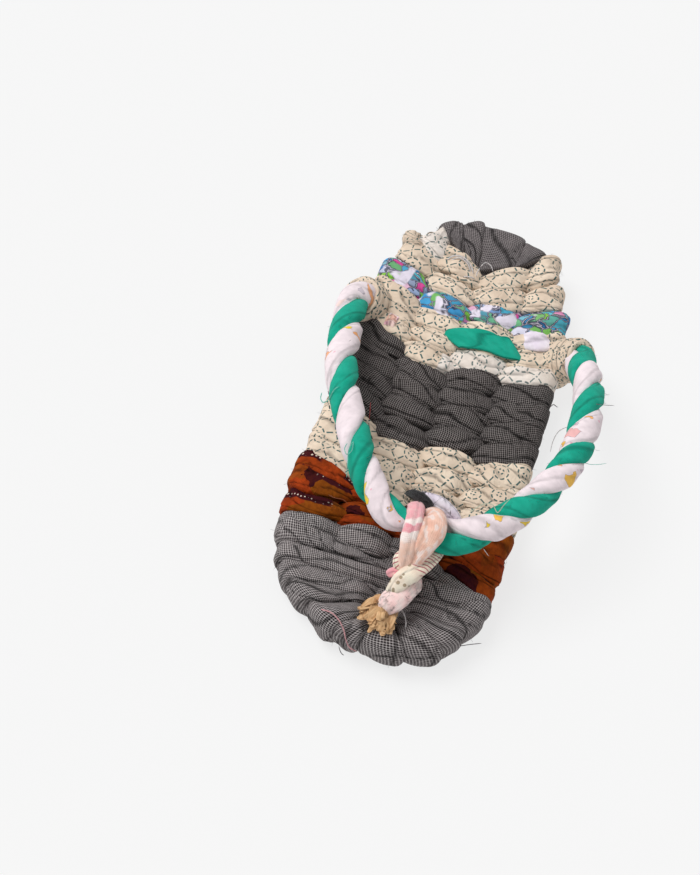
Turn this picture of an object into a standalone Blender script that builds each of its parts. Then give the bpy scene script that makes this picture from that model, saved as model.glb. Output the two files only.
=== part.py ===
"""A woven rag sandal: strips of old cloth woven across four hidden cords, with a twisted cloth strap.

The toe points to -Y and the heel to +Y. The origin is the middle of the sole's underside, which is
trodden flat. All sizes below are millimetres, and MM turns them into Blender's metres.
The sole is one weave made from eight cloths in turn, so each cloth's stretch is a piece of its own.
"""

import math

import bmesh
import bpy
from mathutils import Matrix, Vector

MM = 0.001
GAP = 0.3  # left between pieces that lie against each other
WELD = 0.01  # points nearer than this are one point

COLLECTION = "rag_waraji_sandal"
GUIDES = "guides"

# The sole: half a superellipse at the toe and at the heel, joined by the widths of the table.
LENGTH = 240.0
THICKNESS = 22.0
TOE_LENGTH = 52.0
TOE_ROUNDNESS = 2.15
TOE_SKEW = 7.0  # how far the tip of the toe lies to the side
HEEL_LENGTH = 42.0
HEEL_ROUNDNESS = 2.1
SOLE_WIDTHS = (  # distance from the toe tip, half width
    (52.0, 50.6),
    (72.0, 51.0),
    (110.0, 49.8),
    (138.0, 49.4),
    (160.0, 48.2),
    (185.0, 47.0),
    (198.0, 46.6),
)
EDGE_RADIUS = 9.0  # how far in from the rim the sole starts to round over
RIM_HALF_HEIGHT = 3.5
UNDERSIDE_FULLNESS = 1.12  # over 1: the underside is trodden flat, and only its edge rounds over

# The borders between the cloths, as a weaver meets them from the toe to the heel.
BORDERS = (  # distance from the toe on the middle line, lag at the left and right rim, power of the lag, zigzag
    (52.5, 0.5, -10.5, 2.6, 1.8),
    (73.5, 10.0, 2.0, 2.0, 2.2),
    (103.5, 12.0, 11.0, 2.0, 2.2),
    (148.0, 13.0, 10.0, 1.8, 2.2),
    (178.5, 10.0, 11.0, 1.9, 2.0),
    (189.0, 14.0, 19.0, 1.7, 1.2),
    (205.0, 22.0, 22.0, 1.2, 0.0),
)
WOVEN_BANDS = (  # node, number of strips over each cord, colour, roughness
    ("band_brown", 2, (0.24, 0.07, 0.015), 0.9),
    ("band_cream_front", 3, (0.62, 0.54, 0.40), 0.9),
    ("band_grey_mid", 4, (0.085, 0.08, 0.08), 0.92),
    ("band_cream_mid", 3, (0.64, 0.56, 0.42), 0.9),
    ("band_print", 1, (0.45, 0.47, 0.62), 0.88),
    ("band_cream_heel", 2, (0.63, 0.55, 0.41), 0.9),
)

# The weave: each strip rises over one cord and dives under the next.
CORD_PITCH = 0.48  # between neighbouring cords, as a share of the half width
OUTER_CORD = 0.72
COLUMNS = (-1.0, -0.93, -0.84, -0.72, -0.60, -0.48, -0.36, -0.24, -0.12, 0.0,
           0.12, 0.24, 0.36, 0.48, 0.60, 0.72, 0.84, 0.93, 1.0)
LINES_PER_STRIP = 4
STRIP_RELIEF = 5.0  # from the top of a strip to the corner between four strips
RIDGE_SHARE = 0.35  # of the relief, on a cord's line or on a strip's line alone
RELIEF_REACH = 4.0  # how far in from the rim the relief is at its full depth
FULLNESS = 0.6  # under 1 makes a strip's section fuller than a sine
TREAD = 1.9  # how much of the underside's relief is trodden away
RIM_SCALLOP = 1.2

# The toe cap: folds of one cloth that meet in a slit where the thong comes up.
THONG_ROOT = (6.6, -98.0)
SLIT_BACK = (6.0, -82.0)
TOE_FOLDS = 11
FOLD_SAMPLES = 3
TOE_RINGS = (0.16, 0.34, 0.54, 0.74, 0.9, 1.0)  # share of the way from the slit to the border
FOLD_DEPTH = 3.6
FOLD_NOTCH = 2.2  # how far a crease pulls in the rim
FOLD_FLATTENING = 0.6  # share of the way in from the border by which the weave's relief has gone
ROOT_DIMPLE = 7.0
ROOT_DIMPLE_REACH = 10.5
ROOT_DIMPLE_STRETCH = 0.8  # under 1 makes the dimple longer along the slit

# The heel cap: folds that fan out from the notch in the heel.
HEEL_LINES = (0.0, 0.14, 0.36, 0.6, 0.8, 0.93, 1.0)
HEEL_CREASES = (-0.6, -0.12, 0.36, 0.72)
HEEL_CORNER = 0.92  # the weave's share of the half width where the cap's rim ends
HEEL_RIM_STEPS = 202
NOTCH_DIMPLE = 4.5
NOTCH_REACH = 9.0
BORDER_RELIEF = 3.0  # where the folds tuck under the last strip

# The side loops: lugs of wrapped cloth, seated in pockets of the rim, that hold the strap's two ends.
LUG_RADII = (8.0, 11.8, 13.0)
LUG_FLOOR = 0.5
COLLAR_RADIUS = 7.8
SIDE_LOOPS = (  # node, middle of the lug, end of its collar
    ("side_loop_left", (-43.4, 55.0, 11.0), (-49.4, 50.2, 23.4)),
    ("side_loop_right", (45.0, 57.0, 11.0), (51.0, 52.4, 23.4)),
)
LUG_SIDES = (20, 12)

# The strap: a rope of two strands of cloth, from one side loop round to the other.
STRAP_RADIUS = 7.0
STRAP_WAIST = 0.62  # of the radius, in the groove between the two strands
STRAP_LAY = 38.0  # length of one full turn of the strands
STRAP_RING_STEP = 5.0
STRAP_PROFILE_POINTS = 14
ROUTE_STEPS = 20  # points between two points of a route, before they are spaced evenly
STRAP_ROUTE = (
    (-52.4, 43.5, 29.5),
    (-52.0, 33.0, 33.5),
    (-51.2, 18.0, 38.8),
    (-48.2, 0.0, 44.0),
    (-42.5, -17.0, 48.0),
    (-35.5, -32.0, 50.3),
    (-27.5, -46.0, 50.5),
    (-18.5, -58.0, 49.2),
    (-8.6, -67.0, 46.6),
    (1.5, -71.8, 44.2),
    (13.0, -73.0, 43.0),
    (25.0, -70.4, 42.8),
    (38.2, -60.6, 44.4),
    (50.8, -46.5, 47.4),
    (60.2, -30.0, 50.0),
    (65.2, -13.0, 50.6),
    (65.8, 3.0, 49.0),
    (64.6, 18.0, 45.4),
    (61.8, 33.0, 39.0),
    (57.6, 44.0, 31.5),
)

# The toe thong: two rag strands that loop over the strap and twist together down to the toe.
THONG_RADIUS = 6.3
THONG_WAIST = 0.66
THONG_LAY = 34.0
THONG_ROUTE = ((10.4, -82.0, 37.5), (9.8, -86.0, 33.0), (9.0, -90.0, 28.8), (7.9, -94.0, 24.8), (6.8, -97.4, 21.4))
THONG_PROFILE_POINTS = 12
THONG_STRAND_RADIUS = 4.3
THONG_TURNS = (5.6, 15.0)  # x of the two turns over the strap
THONG_TURN_SIDES = (20, 8)
THONG_DROP = 3.0  # how far a turn is drawn out towards the shank
THONG_PINCH = 0.6  # how far the two turns close up there
THONG_RING_STEP = 4.0

# The tuft of straw that the thong was bound with, spread over the toe.
TUFT_LENGTH = 14.0
TUFT_SMALL_RADIUS = 3.4
TUFT_WIDE_RADIUS = 8.6
TUFT_FLATTENING = 0.36
TUFT_LOCKS = 9
TUFT_LOCK_DEPTH = 0.8
TUFT_PLACE = (0.2, -106.4, 25.0)
TUFT_HEADING = math.radians(-38.0)  # about the vertical, from straight towards the toe


def table_value(rows, place, column=1):
    """The column's value at a place, eased between the rows of a table."""
    if place <= rows[0][0]:
        return rows[0][column]
    for low, high in zip(rows, rows[1:]):
        if place <= high[0]:
            share = (place - low[0]) / (high[0] - low[0])
            ease = (1.0 - math.cos(math.pi * share)) / 2.0
            return low[column] + (high[column] - low[column]) * ease
    return rows[-1][column]


def end_shape(share, roundness):
    """Half width of a superellipse of size 1 at a share of the way from its middle to its end."""
    return max(0.0, 1.0 - min(1.0, share) ** roundness) ** (1.0 / roundness)


def half_width(from_toe):
    if from_toe < TOE_LENGTH:
        return SOLE_WIDTHS[0][1] * end_shape((TOE_LENGTH - from_toe) / TOE_LENGTH, TOE_ROUNDNESS)
    heel_start = LENGTH - HEEL_LENGTH
    if from_toe > heel_start:
        return SOLE_WIDTHS[-1][1] * end_shape((from_toe - heel_start) / HEEL_LENGTH, HEEL_ROUNDNESS)
    return table_value(SOLE_WIDTHS, from_toe)


def middle_shift(from_toe):
    """How far the sole's middle line lies to the side: none, but for the skewed toe."""
    return TOE_SKEW * max(0.0, 1.0 - from_toe / TOE_LENGTH) ** 3


def end_place(x, y):
    """A point's place on the toe's or heel's half superellipse: across, along, and the end's sizes."""
    from_toe = y + LENGTH / 2.0
    if from_toe < LENGTH / 2.0:
        width, length, roundness = SOLE_WIDTHS[0][1], TOE_LENGTH, TOE_ROUNDNESS
        along = (TOE_LENGTH - from_toe) / length
    else:
        width, length, roundness = SOLE_WIDTHS[-1][1], HEEL_LENGTH, HEEL_ROUNDNESS
        along = (from_toe - (LENGTH - HEEL_LENGTH)) / length
    return (x - middle_shift(from_toe)) / width, along, width, length, roundness


def rim_distance(x, y):
    """About how far a point lies inside the sole's outline."""
    across, along, width, length, roundness = end_place(x, y)
    if along < 0.0:
        return max(0.0, half_width(y + LENGTH / 2.0) - abs(x))
    size = (abs(across) ** roundness + along**roundness) ** (1.0 / roundness)
    return max(0.0, (1.0 - size) * min(width, length))


def end_rim(corner, other_corner, count):
    """Points round the toe's or heel's rim, from one corner to the other, both left out."""
    starts = []
    for x, y in (corner, other_corner):
        across, along, width, length, roundness = end_place(x, y)
        starts.append(math.atan2(across, along))
    points = []
    for step in range(1, count):
        angle = starts[0] + (starts[1] - starts[0]) * step / count
        size = (abs(math.sin(angle)) ** roundness + abs(math.cos(angle)) ** roundness) ** (-1.0 / roundness)
        from_end = length * (1.0 - size * math.cos(angle))
        x = width * size * math.sin(angle)
        if corner[1] < 0.0:
            points.append((x + middle_shift(from_end), from_end - LENGTH / 2.0))
        else:
            points.append((x, LENGTH / 2.0 - from_end))
    return points


def section_half_height(x, y):
    """Half the sole's thickness: full inside, and rounding over towards the rim."""
    share = min(1.0, rim_distance(x, y) / EDGE_RADIUS)
    round_over = math.sqrt(1.0 - (1.0 - share) ** 2)
    return RIM_HALF_HEIGHT + (THICKNESS / 2.0 - RIM_HALF_HEIGHT) * round_over


def top_height(x, y, relief):
    return THICKNESS / 2.0 + section_half_height(x, y) - relief * min(1.0, rim_distance(x, y) / RELIEF_REACH)


def underside_height(x, y, relief):
    groove = max(0.0, relief / 2.0 - TREAD)
    return max(0.0, THICKNESS / 2.0 - UNDERSIDE_FULLNESS * section_half_height(x, y)) + groove


def weave_point(across, along):
    """The place on the sole of a point of the weave: its share of the half width, and its row."""
    lag = table_value(BORDERS, along, 1 if across < 0.0 else 2)
    power = table_value(BORDERS, along, 3)
    zigzag = table_value(BORDERS, along, 4)
    from_toe = along + lag * abs(across) ** power
    from_toe += zigzag * math.cos(math.pi * (across + OUTER_CORD) / CORD_PITCH)
    return across * half_width(from_toe) + middle_shift(from_toe), from_toe - LENGTH / 2.0


def over_cord(across):
    """1 on top of a cord, 0 half way between two cords."""
    if abs(across) >= OUTER_CORD:
        return 1.0
    return abs(math.cos(math.pi * (across + OUTER_CORD) / CORD_PITCH)) ** FULLNESS


def strip_relief(over_strip, over_one_cord):
    raised = RIDGE_SHARE * (over_strip + over_one_cord)
    raised += (1.0 - 2.0 * RIDGE_SHARE) * over_strip * over_one_cord
    return STRIP_RELIEF * (1.0 - raised)


def material(name, colour, roughness):
    made = bpy.data.materials.new(name)
    made.use_nodes = True
    shader = made.node_tree.nodes["Principled BSDF"]
    shader.inputs["Base Color"].default_value = (*colour, 1.0)
    shader.inputs["Roughness"].default_value = roughness
    shader.inputs["Metallic"].default_value = 0.0
    return made


def add_object(name, data, colour, roughness):
    made = bpy.data.objects.new(name, data)
    bpy.data.collections[COLLECTION].objects.link(made)
    made.data.materials.append(material("mat_" + name, colour, roughness))
    return made


def object_from_bmesh(name, bm, colour, roughness):
    bmesh.ops.recalc_face_normals(bm, faces=bm.faces)
    bmesh.ops.triangulate(bm, faces=bm.faces)
    mesh = bpy.data.meshes.new(name)
    bm.to_mesh(mesh)
    bm.free()
    mesh.shade_smooth()
    return add_object(name, mesh, colour, roughness)


def block(across_count, along_count, place):
    """A flat box of across x along cells, one cell thick, whose corners go where place() says."""
    bm = bmesh.new()
    bmesh.ops.create_grid(bm, x_segments=across_count, y_segments=along_count, size=1.0)
    top = bmesh.ops.extrude_face_region(bm, geom=bm.faces[:], use_keep_orig=True)
    bmesh.ops.translate(
        bm, verts=[v for v in top["geom"] if isinstance(v, bmesh.types.BMVert)], vec=(0.0, 0.0, 1.0))
    for vert in bm.verts:
        column = round((vert.co.x + 1.0) / 2.0 * across_count)
        line = round((vert.co.y + 1.0) / 2.0 * along_count)
        vert.co = Vector(place(column, line, vert.co.z > 0.5)) * MM
    return bm


def woven_band(name, start, end, strips, colour, roughness):
    """One cloth's stretch of the weave, from its border nearest the toe to the one nearest the heel."""
    lines = strips * LINES_PER_STRIP

    def place(column, line, on_top):
        across = COLUMNS[column]
        along = start + GAP / 2.0 + (end - start - GAP) * line / lines
        x, y = weave_point(across, along)
        over_strip = abs(math.sin(math.pi * line / LINES_PER_STRIP)) ** FULLNESS
        relief = strip_relief(over_strip, over_cord(across))
        z = top_height(x, y, relief) if on_top else underside_height(x, y, relief)
        if abs(across) == 1.0:
            x += math.copysign(RIM_SCALLOP, across) * over_strip
        return x, y, z

    return object_from_bmesh(name, block(len(COLUMNS) - 1, lines, place), colour, roughness)


def toe_cap():
    """The first cloth: folds that run from the slit round the thong to the rim and back underneath."""
    border = [(*weave_point(across, BORDERS[0][0] - GAP / 2.0), across) for across in reversed(COLUMNS)]
    rim = end_rim(border[-1][:2], border[0][:2], TOE_FOLDS * FOLD_SAMPLES)
    segments = len(border) + len(rim)
    rings = TOE_RINGS + tuple(reversed(TOE_RINGS))
    root = Vector(THONG_ROOT)
    slit = Vector(SLIT_BACK) - root

    def height(point, relief, on_top):
        if not on_top:
            return underside_height(point.x, point.y, relief)
        from_root = Vector((point.x - root.x, (point.y - root.y) * ROOT_DIMPLE_STRETCH)).length
        dimple = ROOT_DIMPLE * math.exp(-((from_root / ROOT_DIMPLE_REACH) ** 4))
        return top_height(point.x, point.y, relief) - dimple

    def place(segment, ring):
        if ring in (0, len(rings) + 1):
            return (*root, height(root, 0.0, ring == 0))
        share = rings[ring - 1]
        on_top = ring <= len(TOE_RINGS)
        if segment < len(border):
            x, y, across = border[segment]
            over_strip = abs(math.sin(math.pi * min(1.0, (1.0 - share) / FOLD_FLATTENING))) ** FULLNESS
            relief = strip_relief(over_strip, over_cord(across)) * share
            pull = 0.0
        else:
            x, y = rim[segment - len(border)]
            crease = (segment - len(border) + 1) % FOLD_SAMPLES == 0
            relief = FOLD_DEPTH * share if crease else 0.0
            pull = FOLD_NOTCH * share**4 if crease else 0.0
        edge = Vector((x, y))
        along_slit = min(1.0, max(0.0, (edge - root).dot(slit) / slit.length_squared))
        start = root + slit * along_slit
        point = start + (edge - start) * share
        z = height(point, relief, on_top)
        inward = (start - edge).normalized() * pull
        return point.x + inward.x, point.y + inward.y, z

    bm = bmesh.new()
    bmesh.ops.create_uvsphere(bm, u_segments=segments, v_segments=len(rings) + 1, radius=1.0)
    for vert in bm.verts:
        ring = round(math.acos(max(-1.0, min(1.0, vert.co.z))) / math.pi * (len(rings) + 1))
        segment = round(math.atan2(vert.co.y, vert.co.x) / math.tau * segments) % segments
        vert.co = Vector(place(segment, ring)) * MM
    return object_from_bmesh("toe_cap", bm, (0.11, 0.105, 0.1), 0.92)


def heel_cap():
    """The last cloth: folds that fan out from the notch of the heel to the rim."""
    last = BORDERS[-1][0]
    notch = Vector(weave_point(0.0, last))
    corners = [weave_point(across, last) for across in (-HEEL_CORNER, HEEL_CORNER)]
    rim = end_rim(*corners, HEEL_RIM_STEPS)

    def place(column, line, on_top):
        across = COLUMNS[column]
        share = HEEL_LINES[line]
        crease = across in HEEL_CREASES
        start = Vector(weave_point(across, last + GAP / 2.0))
        edge = Vector(rim[round((across + 1.0) / 2.0 * (HEEL_RIM_STEPS - 2))])
        start += (edge - start).normalized() * GAP
        point = start + (edge - start) * share
        relief = FOLD_DEPTH * share if crease else 0.0
        z = underside_height(point.x, point.y, relief)
        if on_top:
            dimple = NOTCH_DIMPLE * math.exp(-(((point - notch).length / NOTCH_REACH) ** 2))
            z = top_height(point.x, point.y, max(relief, BORDER_RELIEF * (1.0 - share) ** 4)) - dimple
        pull = FOLD_NOTCH * share**4 if crease else 0.0
        inward = (notch - edge).normalized() * pull
        return point.x + inward.x, point.y + inward.y, z

    bm = block(len(COLUMNS) - 1, len(HEEL_LINES) - 1, place)
    return object_from_bmesh("heel_cap", bm, (0.075, 0.07, 0.07), 0.92)


def smooth_route(points, step):
    """Points about a step apart on a smooth curve through the route's own points."""
    ends = [points[0] * 2 - points[1], *points, points[-1] * 2 - points[-2]]
    fine = []
    for before, start, end, after in zip(ends, ends[1:], ends[2:], ends[3:]):
        for part in range(ROUTE_STEPS):
            t = part / ROUTE_STEPS
            fine.append(0.5 * (2.0 * start + (end - before) * t
                               + (2.0 * before - 5.0 * start + 4.0 * end - after) * t * t
                               + (3.0 * start - before - 3.0 * end + after) * t**3))
    fine.append(points[-1])
    lengths = [0.0]
    for one, other in zip(fine, fine[1:]):
        lengths.append(lengths[-1] + (other - one).length)
    count = max(2, round(lengths[-1] / step))
    route = []
    at = 0
    for number in range(count + 1):
        wanted = lengths[-1] * number / count
        while at < len(lengths) - 2 and lengths[at + 1] < wanted:
            at += 1
        share = (wanted - lengths[at]) / (lengths[at + 1] - lengths[at])
        route.append(fine[at].lerp(fine[at + 1], min(1.0, share)))
    return route


def rope_profile(name, radius, waist, count):
    """The section of two strands lying side by side, as a closed curve for a bevel."""
    curve = bpy.data.curves.new(name, "CURVE")
    curve.dimensions = "2D"
    spline = curve.splines.new("POLY")
    spline.points.add(count - 1)
    for number, point in enumerate(spline.points):
        angle = math.tau * (number + 0.5) / count
        reach = radius * (waist + (1.0 - waist) * abs(math.cos(angle)) ** FULLNESS) * MM
        point.co = (reach * math.cos(angle), reach * math.sin(angle), 0.0, 1.0)
    spline.use_cyclic_u = True
    profile = bpy.data.objects.new(name, curve)
    bpy.data.collections[GUIDES].objects.link(profile)
    profile.hide_render = True
    profile.display_type = "WIRE"
    return profile


def rope_curve(name, route, lay, profile):
    """A rope whose section turns once in every lay along the route."""
    curve = bpy.data.curves.new(name, "CURVE")
    curve.dimensions = "3D"
    curve.twist_mode = "MINIMUM"
    curve.bevel_mode = "OBJECT"
    curve.bevel_object = profile
    curve.use_fill_caps = True
    spline = curve.splines.new("POLY")
    spline.points.add(len(route) - 1)
    travelled = 0.0
    for number, point in enumerate(spline.points):
        if number:
            travelled += (route[number] - route[number - 1]).length
        point.co = (*(route[number] * MM), 1.0)
        point.tilt = math.tau * travelled / lay
    return curve


def mesh_of_curve(curve):
    """The curve's evaluated mesh, with its loose caps welded on."""
    holder = bpy.data.objects.new("curve_to_mesh", curve)
    bpy.data.collections[GUIDES].objects.link(holder)
    evaluated = holder.evaluated_get(bpy.context.evaluated_depsgraph_get())
    mesh = bpy.data.meshes.new_from_object(evaluated)
    bm = bmesh.new()
    bm.from_mesh(mesh)
    bmesh.ops.remove_doubles(bm, verts=bm.verts, dist=WELD * MM)
    bpy.data.meshes.remove(mesh)
    bpy.data.objects.remove(holder)
    return bm


def lug(name, middle, grown):
    """A lug's belly, or with some growth the pocket that it sits in."""
    bm = bmesh.new()
    bmesh.ops.create_uvsphere(bm, u_segments=LUG_SIDES[0], v_segments=LUG_SIDES[1], radius=MM)
    bmesh.ops.scale(bm, verts=bm.verts, vec=[radius + grown for radius in LUG_RADII])
    bmesh.ops.translate(bm, verts=bm.verts, vec=Vector(middle) * MM)
    if not grown:
        for vert in bm.verts:
            vert.co.z = max(vert.co.z, LUG_FLOOR * MM)
    return object_from_bmesh(name, bm, (0.66, 0.58, 0.44), 0.9)


def make_guide(guide):
    """Keeps a cutter or a joined shape out of the model itself."""
    for collection in list(guide.users_collection):
        collection.objects.unlink(guide)
    bpy.data.collections[GUIDES].objects.link(guide)
    guide.hide_render = True
    guide.display_type = "WIRE"


def boolean(target, operation, other):
    make_guide(other)
    modifier = target.modifiers.new(other.name, "BOOLEAN")
    modifier.operation = operation
    modifier.object = other


def collar(name, middle, collar_end, grown):
    """The collar on a lug, or with some growth the room that it needs."""
    middle, end = Vector(middle), Vector(collar_end)
    bpy.ops.mesh.primitive_cylinder_add(
        vertices=LUG_SIDES[0], radius=(COLLAR_RADIUS + grown) * MM, depth=(end - middle).length * MM)
    made = bpy.context.object
    made.name = name
    made.location = (middle + end) / 2.0 * MM
    made.rotation_mode = "QUATERNION"
    made.rotation_quaternion = (end - middle).to_track_quat("Z", "Y")
    return made


def side_loop(name, middle, collar_end, bands):
    """A lug in its pocket of the bands, with the collar that the strap comes out of."""
    belly = lug(name, middle, 0.0)
    boolean(belly, "UNION", collar(name + "_collar", middle, collar_end, 0.0))
    pocket = lug(name + "_pocket", middle, GAP)
    room = collar(name + "_collar_room", middle, collar_end, GAP)
    for band in bands:
        boolean(band, "DIFFERENCE", pocket)
        boolean(band, "DIFFERENCE", room)


def strap_route():
    """The strap's middle line. Its ends are straight, and stand 0.3 mm off the tops of the side loops."""
    ends, after_ends = [], []
    for _, middle, collar_end in SIDE_LOOPS:
        heading = (Vector(collar_end) - Vector(middle)).normalized()
        ends.append(Vector(collar_end) + heading * GAP)
        after_ends.append(Vector(collar_end) + heading * (GAP + STRAP_RING_STEP))
    middle = [after_ends[0], *(Vector(point) for point in STRAP_ROUTE), after_ends[1]]
    return [ends[0], *smooth_route(middle, STRAP_RING_STEP), ends[1]]


def strap():
    profile = rope_profile("strap_section", STRAP_RADIUS, STRAP_WAIST, STRAP_PROFILE_POINTS)
    curve = rope_curve("strap", strap_route(), STRAP_LAY, profile)
    return object_from_bmesh("strap", mesh_of_curve(curve), (0.06, 0.42, 0.28), 0.85)


def turn_over_strap(x):
    """One turn of rag round the strap, drawn out into a drop towards the shank of the thong."""
    route = strap_route()
    over_the_toes = [n for n in range(1, len(route) - 1) if route[n].y < 0.0]
    nearest = min(over_the_toes, key=lambda n: abs(route[n].x - x))
    heading = (route[nearest + 1] - route[nearest - 1]).normalized()
    centre = route[nearest] + heading * ((x - route[nearest].x) / heading.x)
    bpy.ops.mesh.primitive_torus_add(
        major_segments=THONG_TURN_SIDES[0], minor_segments=THONG_TURN_SIDES[1],
        major_radius=(STRAP_RADIUS + GAP * 2.0 + THONG_STRAND_RADIUS) * MM,
        minor_radius=THONG_STRAND_RADIUS * MM)
    turn = bpy.context.object
    turn.name = f"thong_turn_{x:.0f}"
    turn.data.transform(Matrix.Translation(centre * MM) @ heading.to_track_quat("Z", "Y").to_matrix().to_4x4())
    to_shank = Vector(THONG_ROUTE[0]) - centre
    across_strap = (to_shank - heading * to_shank.dot(heading)).normalized()
    for vert in turn.data.vertices:
        from_centre = (vert.co / MM - centre)
        facing = max(0.0, from_centre.normalized().dot(across_strap)) ** 3
        drawn = across_strap * THONG_DROP + heading * to_shank.dot(heading) * THONG_PINCH
        vert.co += drawn * facing * MM
    return turn


def toe_thong():
    """The thong: its twisted shank, joined to the two turns that hold the strap."""
    profile = rope_profile("thong_section", THONG_RADIUS, THONG_WAIST, THONG_PROFILE_POINTS)
    route = smooth_route([Vector(point) for point in THONG_ROUTE], THONG_RING_STEP)
    bm = mesh_of_curve(rope_curve("toe_thong", route, THONG_LAY, profile))
    shank = object_from_bmesh("toe_thong", bm, (0.80, 0.47, 0.38), 0.9)
    for x in THONG_TURNS:
        boolean(shank, "UNION", turn_over_strap(x))


def thong_tuft():
    """A flat fan of straw, its rim parted into locks."""
    bm = bmesh.new()
    bmesh.ops.create_cone(
        bm, cap_ends=True, segments=TUFT_LOCKS * 2, radius1=TUFT_SMALL_RADIUS * MM,
        radius2=TUFT_WIDE_RADIUS * MM, depth=TUFT_LENGTH * MM)
    wide_end = [v for v in bm.verts if v.co.z > 0.0]
    for vert in wide_end:
        lock = round(math.atan2(vert.co.y, vert.co.x) / math.tau * TUFT_LOCKS * 2)
        if lock % 2:
            vert.co.z -= TUFT_LOCK_DEPTH * 2.0 * MM
            vert.co.x *= 1.0 - TUFT_LOCK_DEPTH / TUFT_WIDE_RADIUS
            vert.co.y *= 1.0 - TUFT_LOCK_DEPTH / TUFT_WIDE_RADIUS
    bmesh.ops.scale(bm, verts=bm.verts, vec=(1.0, TUFT_FLATTENING, 1.0))
    bmesh.ops.rotate(bm, verts=bm.verts, matrix=Matrix.Rotation(math.radians(90.0), 3, "X"))
    tuft = object_from_bmesh("thong_tuft", bm, (0.50, 0.33, 0.15), 0.85)
    tuft.location = Vector(TUFT_PLACE) * MM
    tuft.rotation_euler = (0.0, 0.0, TUFT_HEADING)
    return tuft


def main():
    for old in list(bpy.data.objects):
        bpy.data.objects.remove(old, do_unlink=True)
    for name in (COLLECTION, GUIDES):
        bpy.context.scene.collection.children.link(bpy.data.collections.new(name))
    toe_cap()
    starts = [row[0] for row in BORDERS]
    bands = {}
    for start, end, (name, strips, colour, roughness) in zip(starts, starts[1:], WOVEN_BANDS):
        bands[name] = woven_band(name, start, end, strips, colour, roughness)
    heel_cap()
    for name, middle, collar_end in SIDE_LOOPS:
        side_loop(name, middle, collar_end, [bands["band_cream_mid"], bands["band_print"]])
    strap()
    toe_thong()
    thong_tuft()


main()
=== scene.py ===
"""A rag sandal in the manner of a waraji: its woven cloths, twisted strap and thong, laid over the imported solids."""

import math

import bpy
import numpy as np
from bpy.props import FloatProperty, FloatVectorProperty, IntProperty, PointerProperty
from mathutils import Matrix, Vector


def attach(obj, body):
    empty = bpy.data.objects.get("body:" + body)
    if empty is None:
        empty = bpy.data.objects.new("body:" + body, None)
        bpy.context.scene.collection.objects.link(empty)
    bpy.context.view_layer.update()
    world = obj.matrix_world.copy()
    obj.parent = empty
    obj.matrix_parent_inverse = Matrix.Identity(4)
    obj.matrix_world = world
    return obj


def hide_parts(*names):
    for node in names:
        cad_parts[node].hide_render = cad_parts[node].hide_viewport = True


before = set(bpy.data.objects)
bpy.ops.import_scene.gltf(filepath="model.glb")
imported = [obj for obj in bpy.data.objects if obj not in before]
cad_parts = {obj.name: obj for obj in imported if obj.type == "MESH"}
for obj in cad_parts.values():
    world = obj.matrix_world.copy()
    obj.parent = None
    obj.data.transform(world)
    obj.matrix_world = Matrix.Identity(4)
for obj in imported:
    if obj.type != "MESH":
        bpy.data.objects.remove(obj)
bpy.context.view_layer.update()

bl_info = {
    "name": "Rag Sandal",
    "version": (1, 0, 0),
    "blender": (4, 5, 0),
    "location": "3D View > Sidebar > Rag Sandal",
    "description": "Weaves the cloth sole, twists the strap and the thong, and sets the stage",
    "category": "Object",
}

MM = 0.001

# The sole's plan in millimetres, as the solids have it: half a superellipse at the toe and at the heel.
LENGTH = 240.0
MIDDLE_HEIGHT = 11.0
TOE_END = (52.0, 50.6, 2.15)  # length, half width, roundness
HEEL_END = (42.0, 46.6, 2.1)
TOE_SKEW = 7.0
SOLE_WIDTHS = (  # distance from the toe tip, half width
    (52.0, 50.6), (72.0, 51.0), (110.0, 49.8), (138.0, 49.4), (160.0, 48.2), (185.0, 47.0), (198.0, 46.6))
BORDERS = (  # distance from the toe on the middle line, lag at the left and right rim, power of the lag, zigzag
    (57.5, -6.0, -20.0, 1.3, 1.0),
    (73.5, 10.0, 2.0, 2.0, 1.8),
    (105.4, 12.0, 11.0, 2.0, 2.2),
    (151.0, 13.0, 10.0, 1.8, 2.2),
    (178.5, 10.0, 11.0, 1.9, 2.0),
    (189.0, 14.0, 19.0, 1.7, 1.2),
    (206.3, 29.0, 30.0, 1.05, 0.0))
CORD_PITCH = 0.48  # between neighbouring cords, as a share of the half width
OUTER_CORD = 0.72
ROUNDING = 9.0
WALK_ROWS, TURN_ROWS = 84, 22  # rows of a woven strip's skin on one pass and in its turn at the rim
WIDEST_STRIP = 7.5  # half its width
TOE_PROUD, HEEL_PROUD = 1.6, -1.2  # how far the folds of the toe and the heel stand out at the rim

WOVEN_BANDS = (  # node, strips over each cord, cloth, how far its left turns, its right turns and its end reach out
    ("band_brown", 3, "wax_print", (0.965, 0.925, 0.965)),
    ("band_cream_front", 3, "stitched_cream", (0.935, 0.935, 0.935)),
    ("band_grey_mid", 4, "dark_check", (0.935, 0.935, 0.935)),
    ("band_cream_mid", 3, "stitched_cream", (0.935, 0.935, 0.935)),
    ("band_print", 1, "bright_jersey", (0.92, 0.9, 0.92)),
    ("band_cream_heel", 2, "stitched_cream", (0.83, 0.81, 0.64)))
OVERLAID = (  # piece, band, cloth, the strip's pass and its share of the half width at both ends
    ("white_rag_middle", 3, "stitched_white", (0, -0.2), (1, -0.1)),
    ("white_rag_left", 3, "stitched_white", (1, 0.06), (1, -0.34)),
    ("white_rag_heel", 5, "stitched_white", (3, -0.42), (3, -0.99)),
    ("lilac_rag_right", 3, "lilac_cotton", (4, 0.54), (4, 0.8)))

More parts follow.
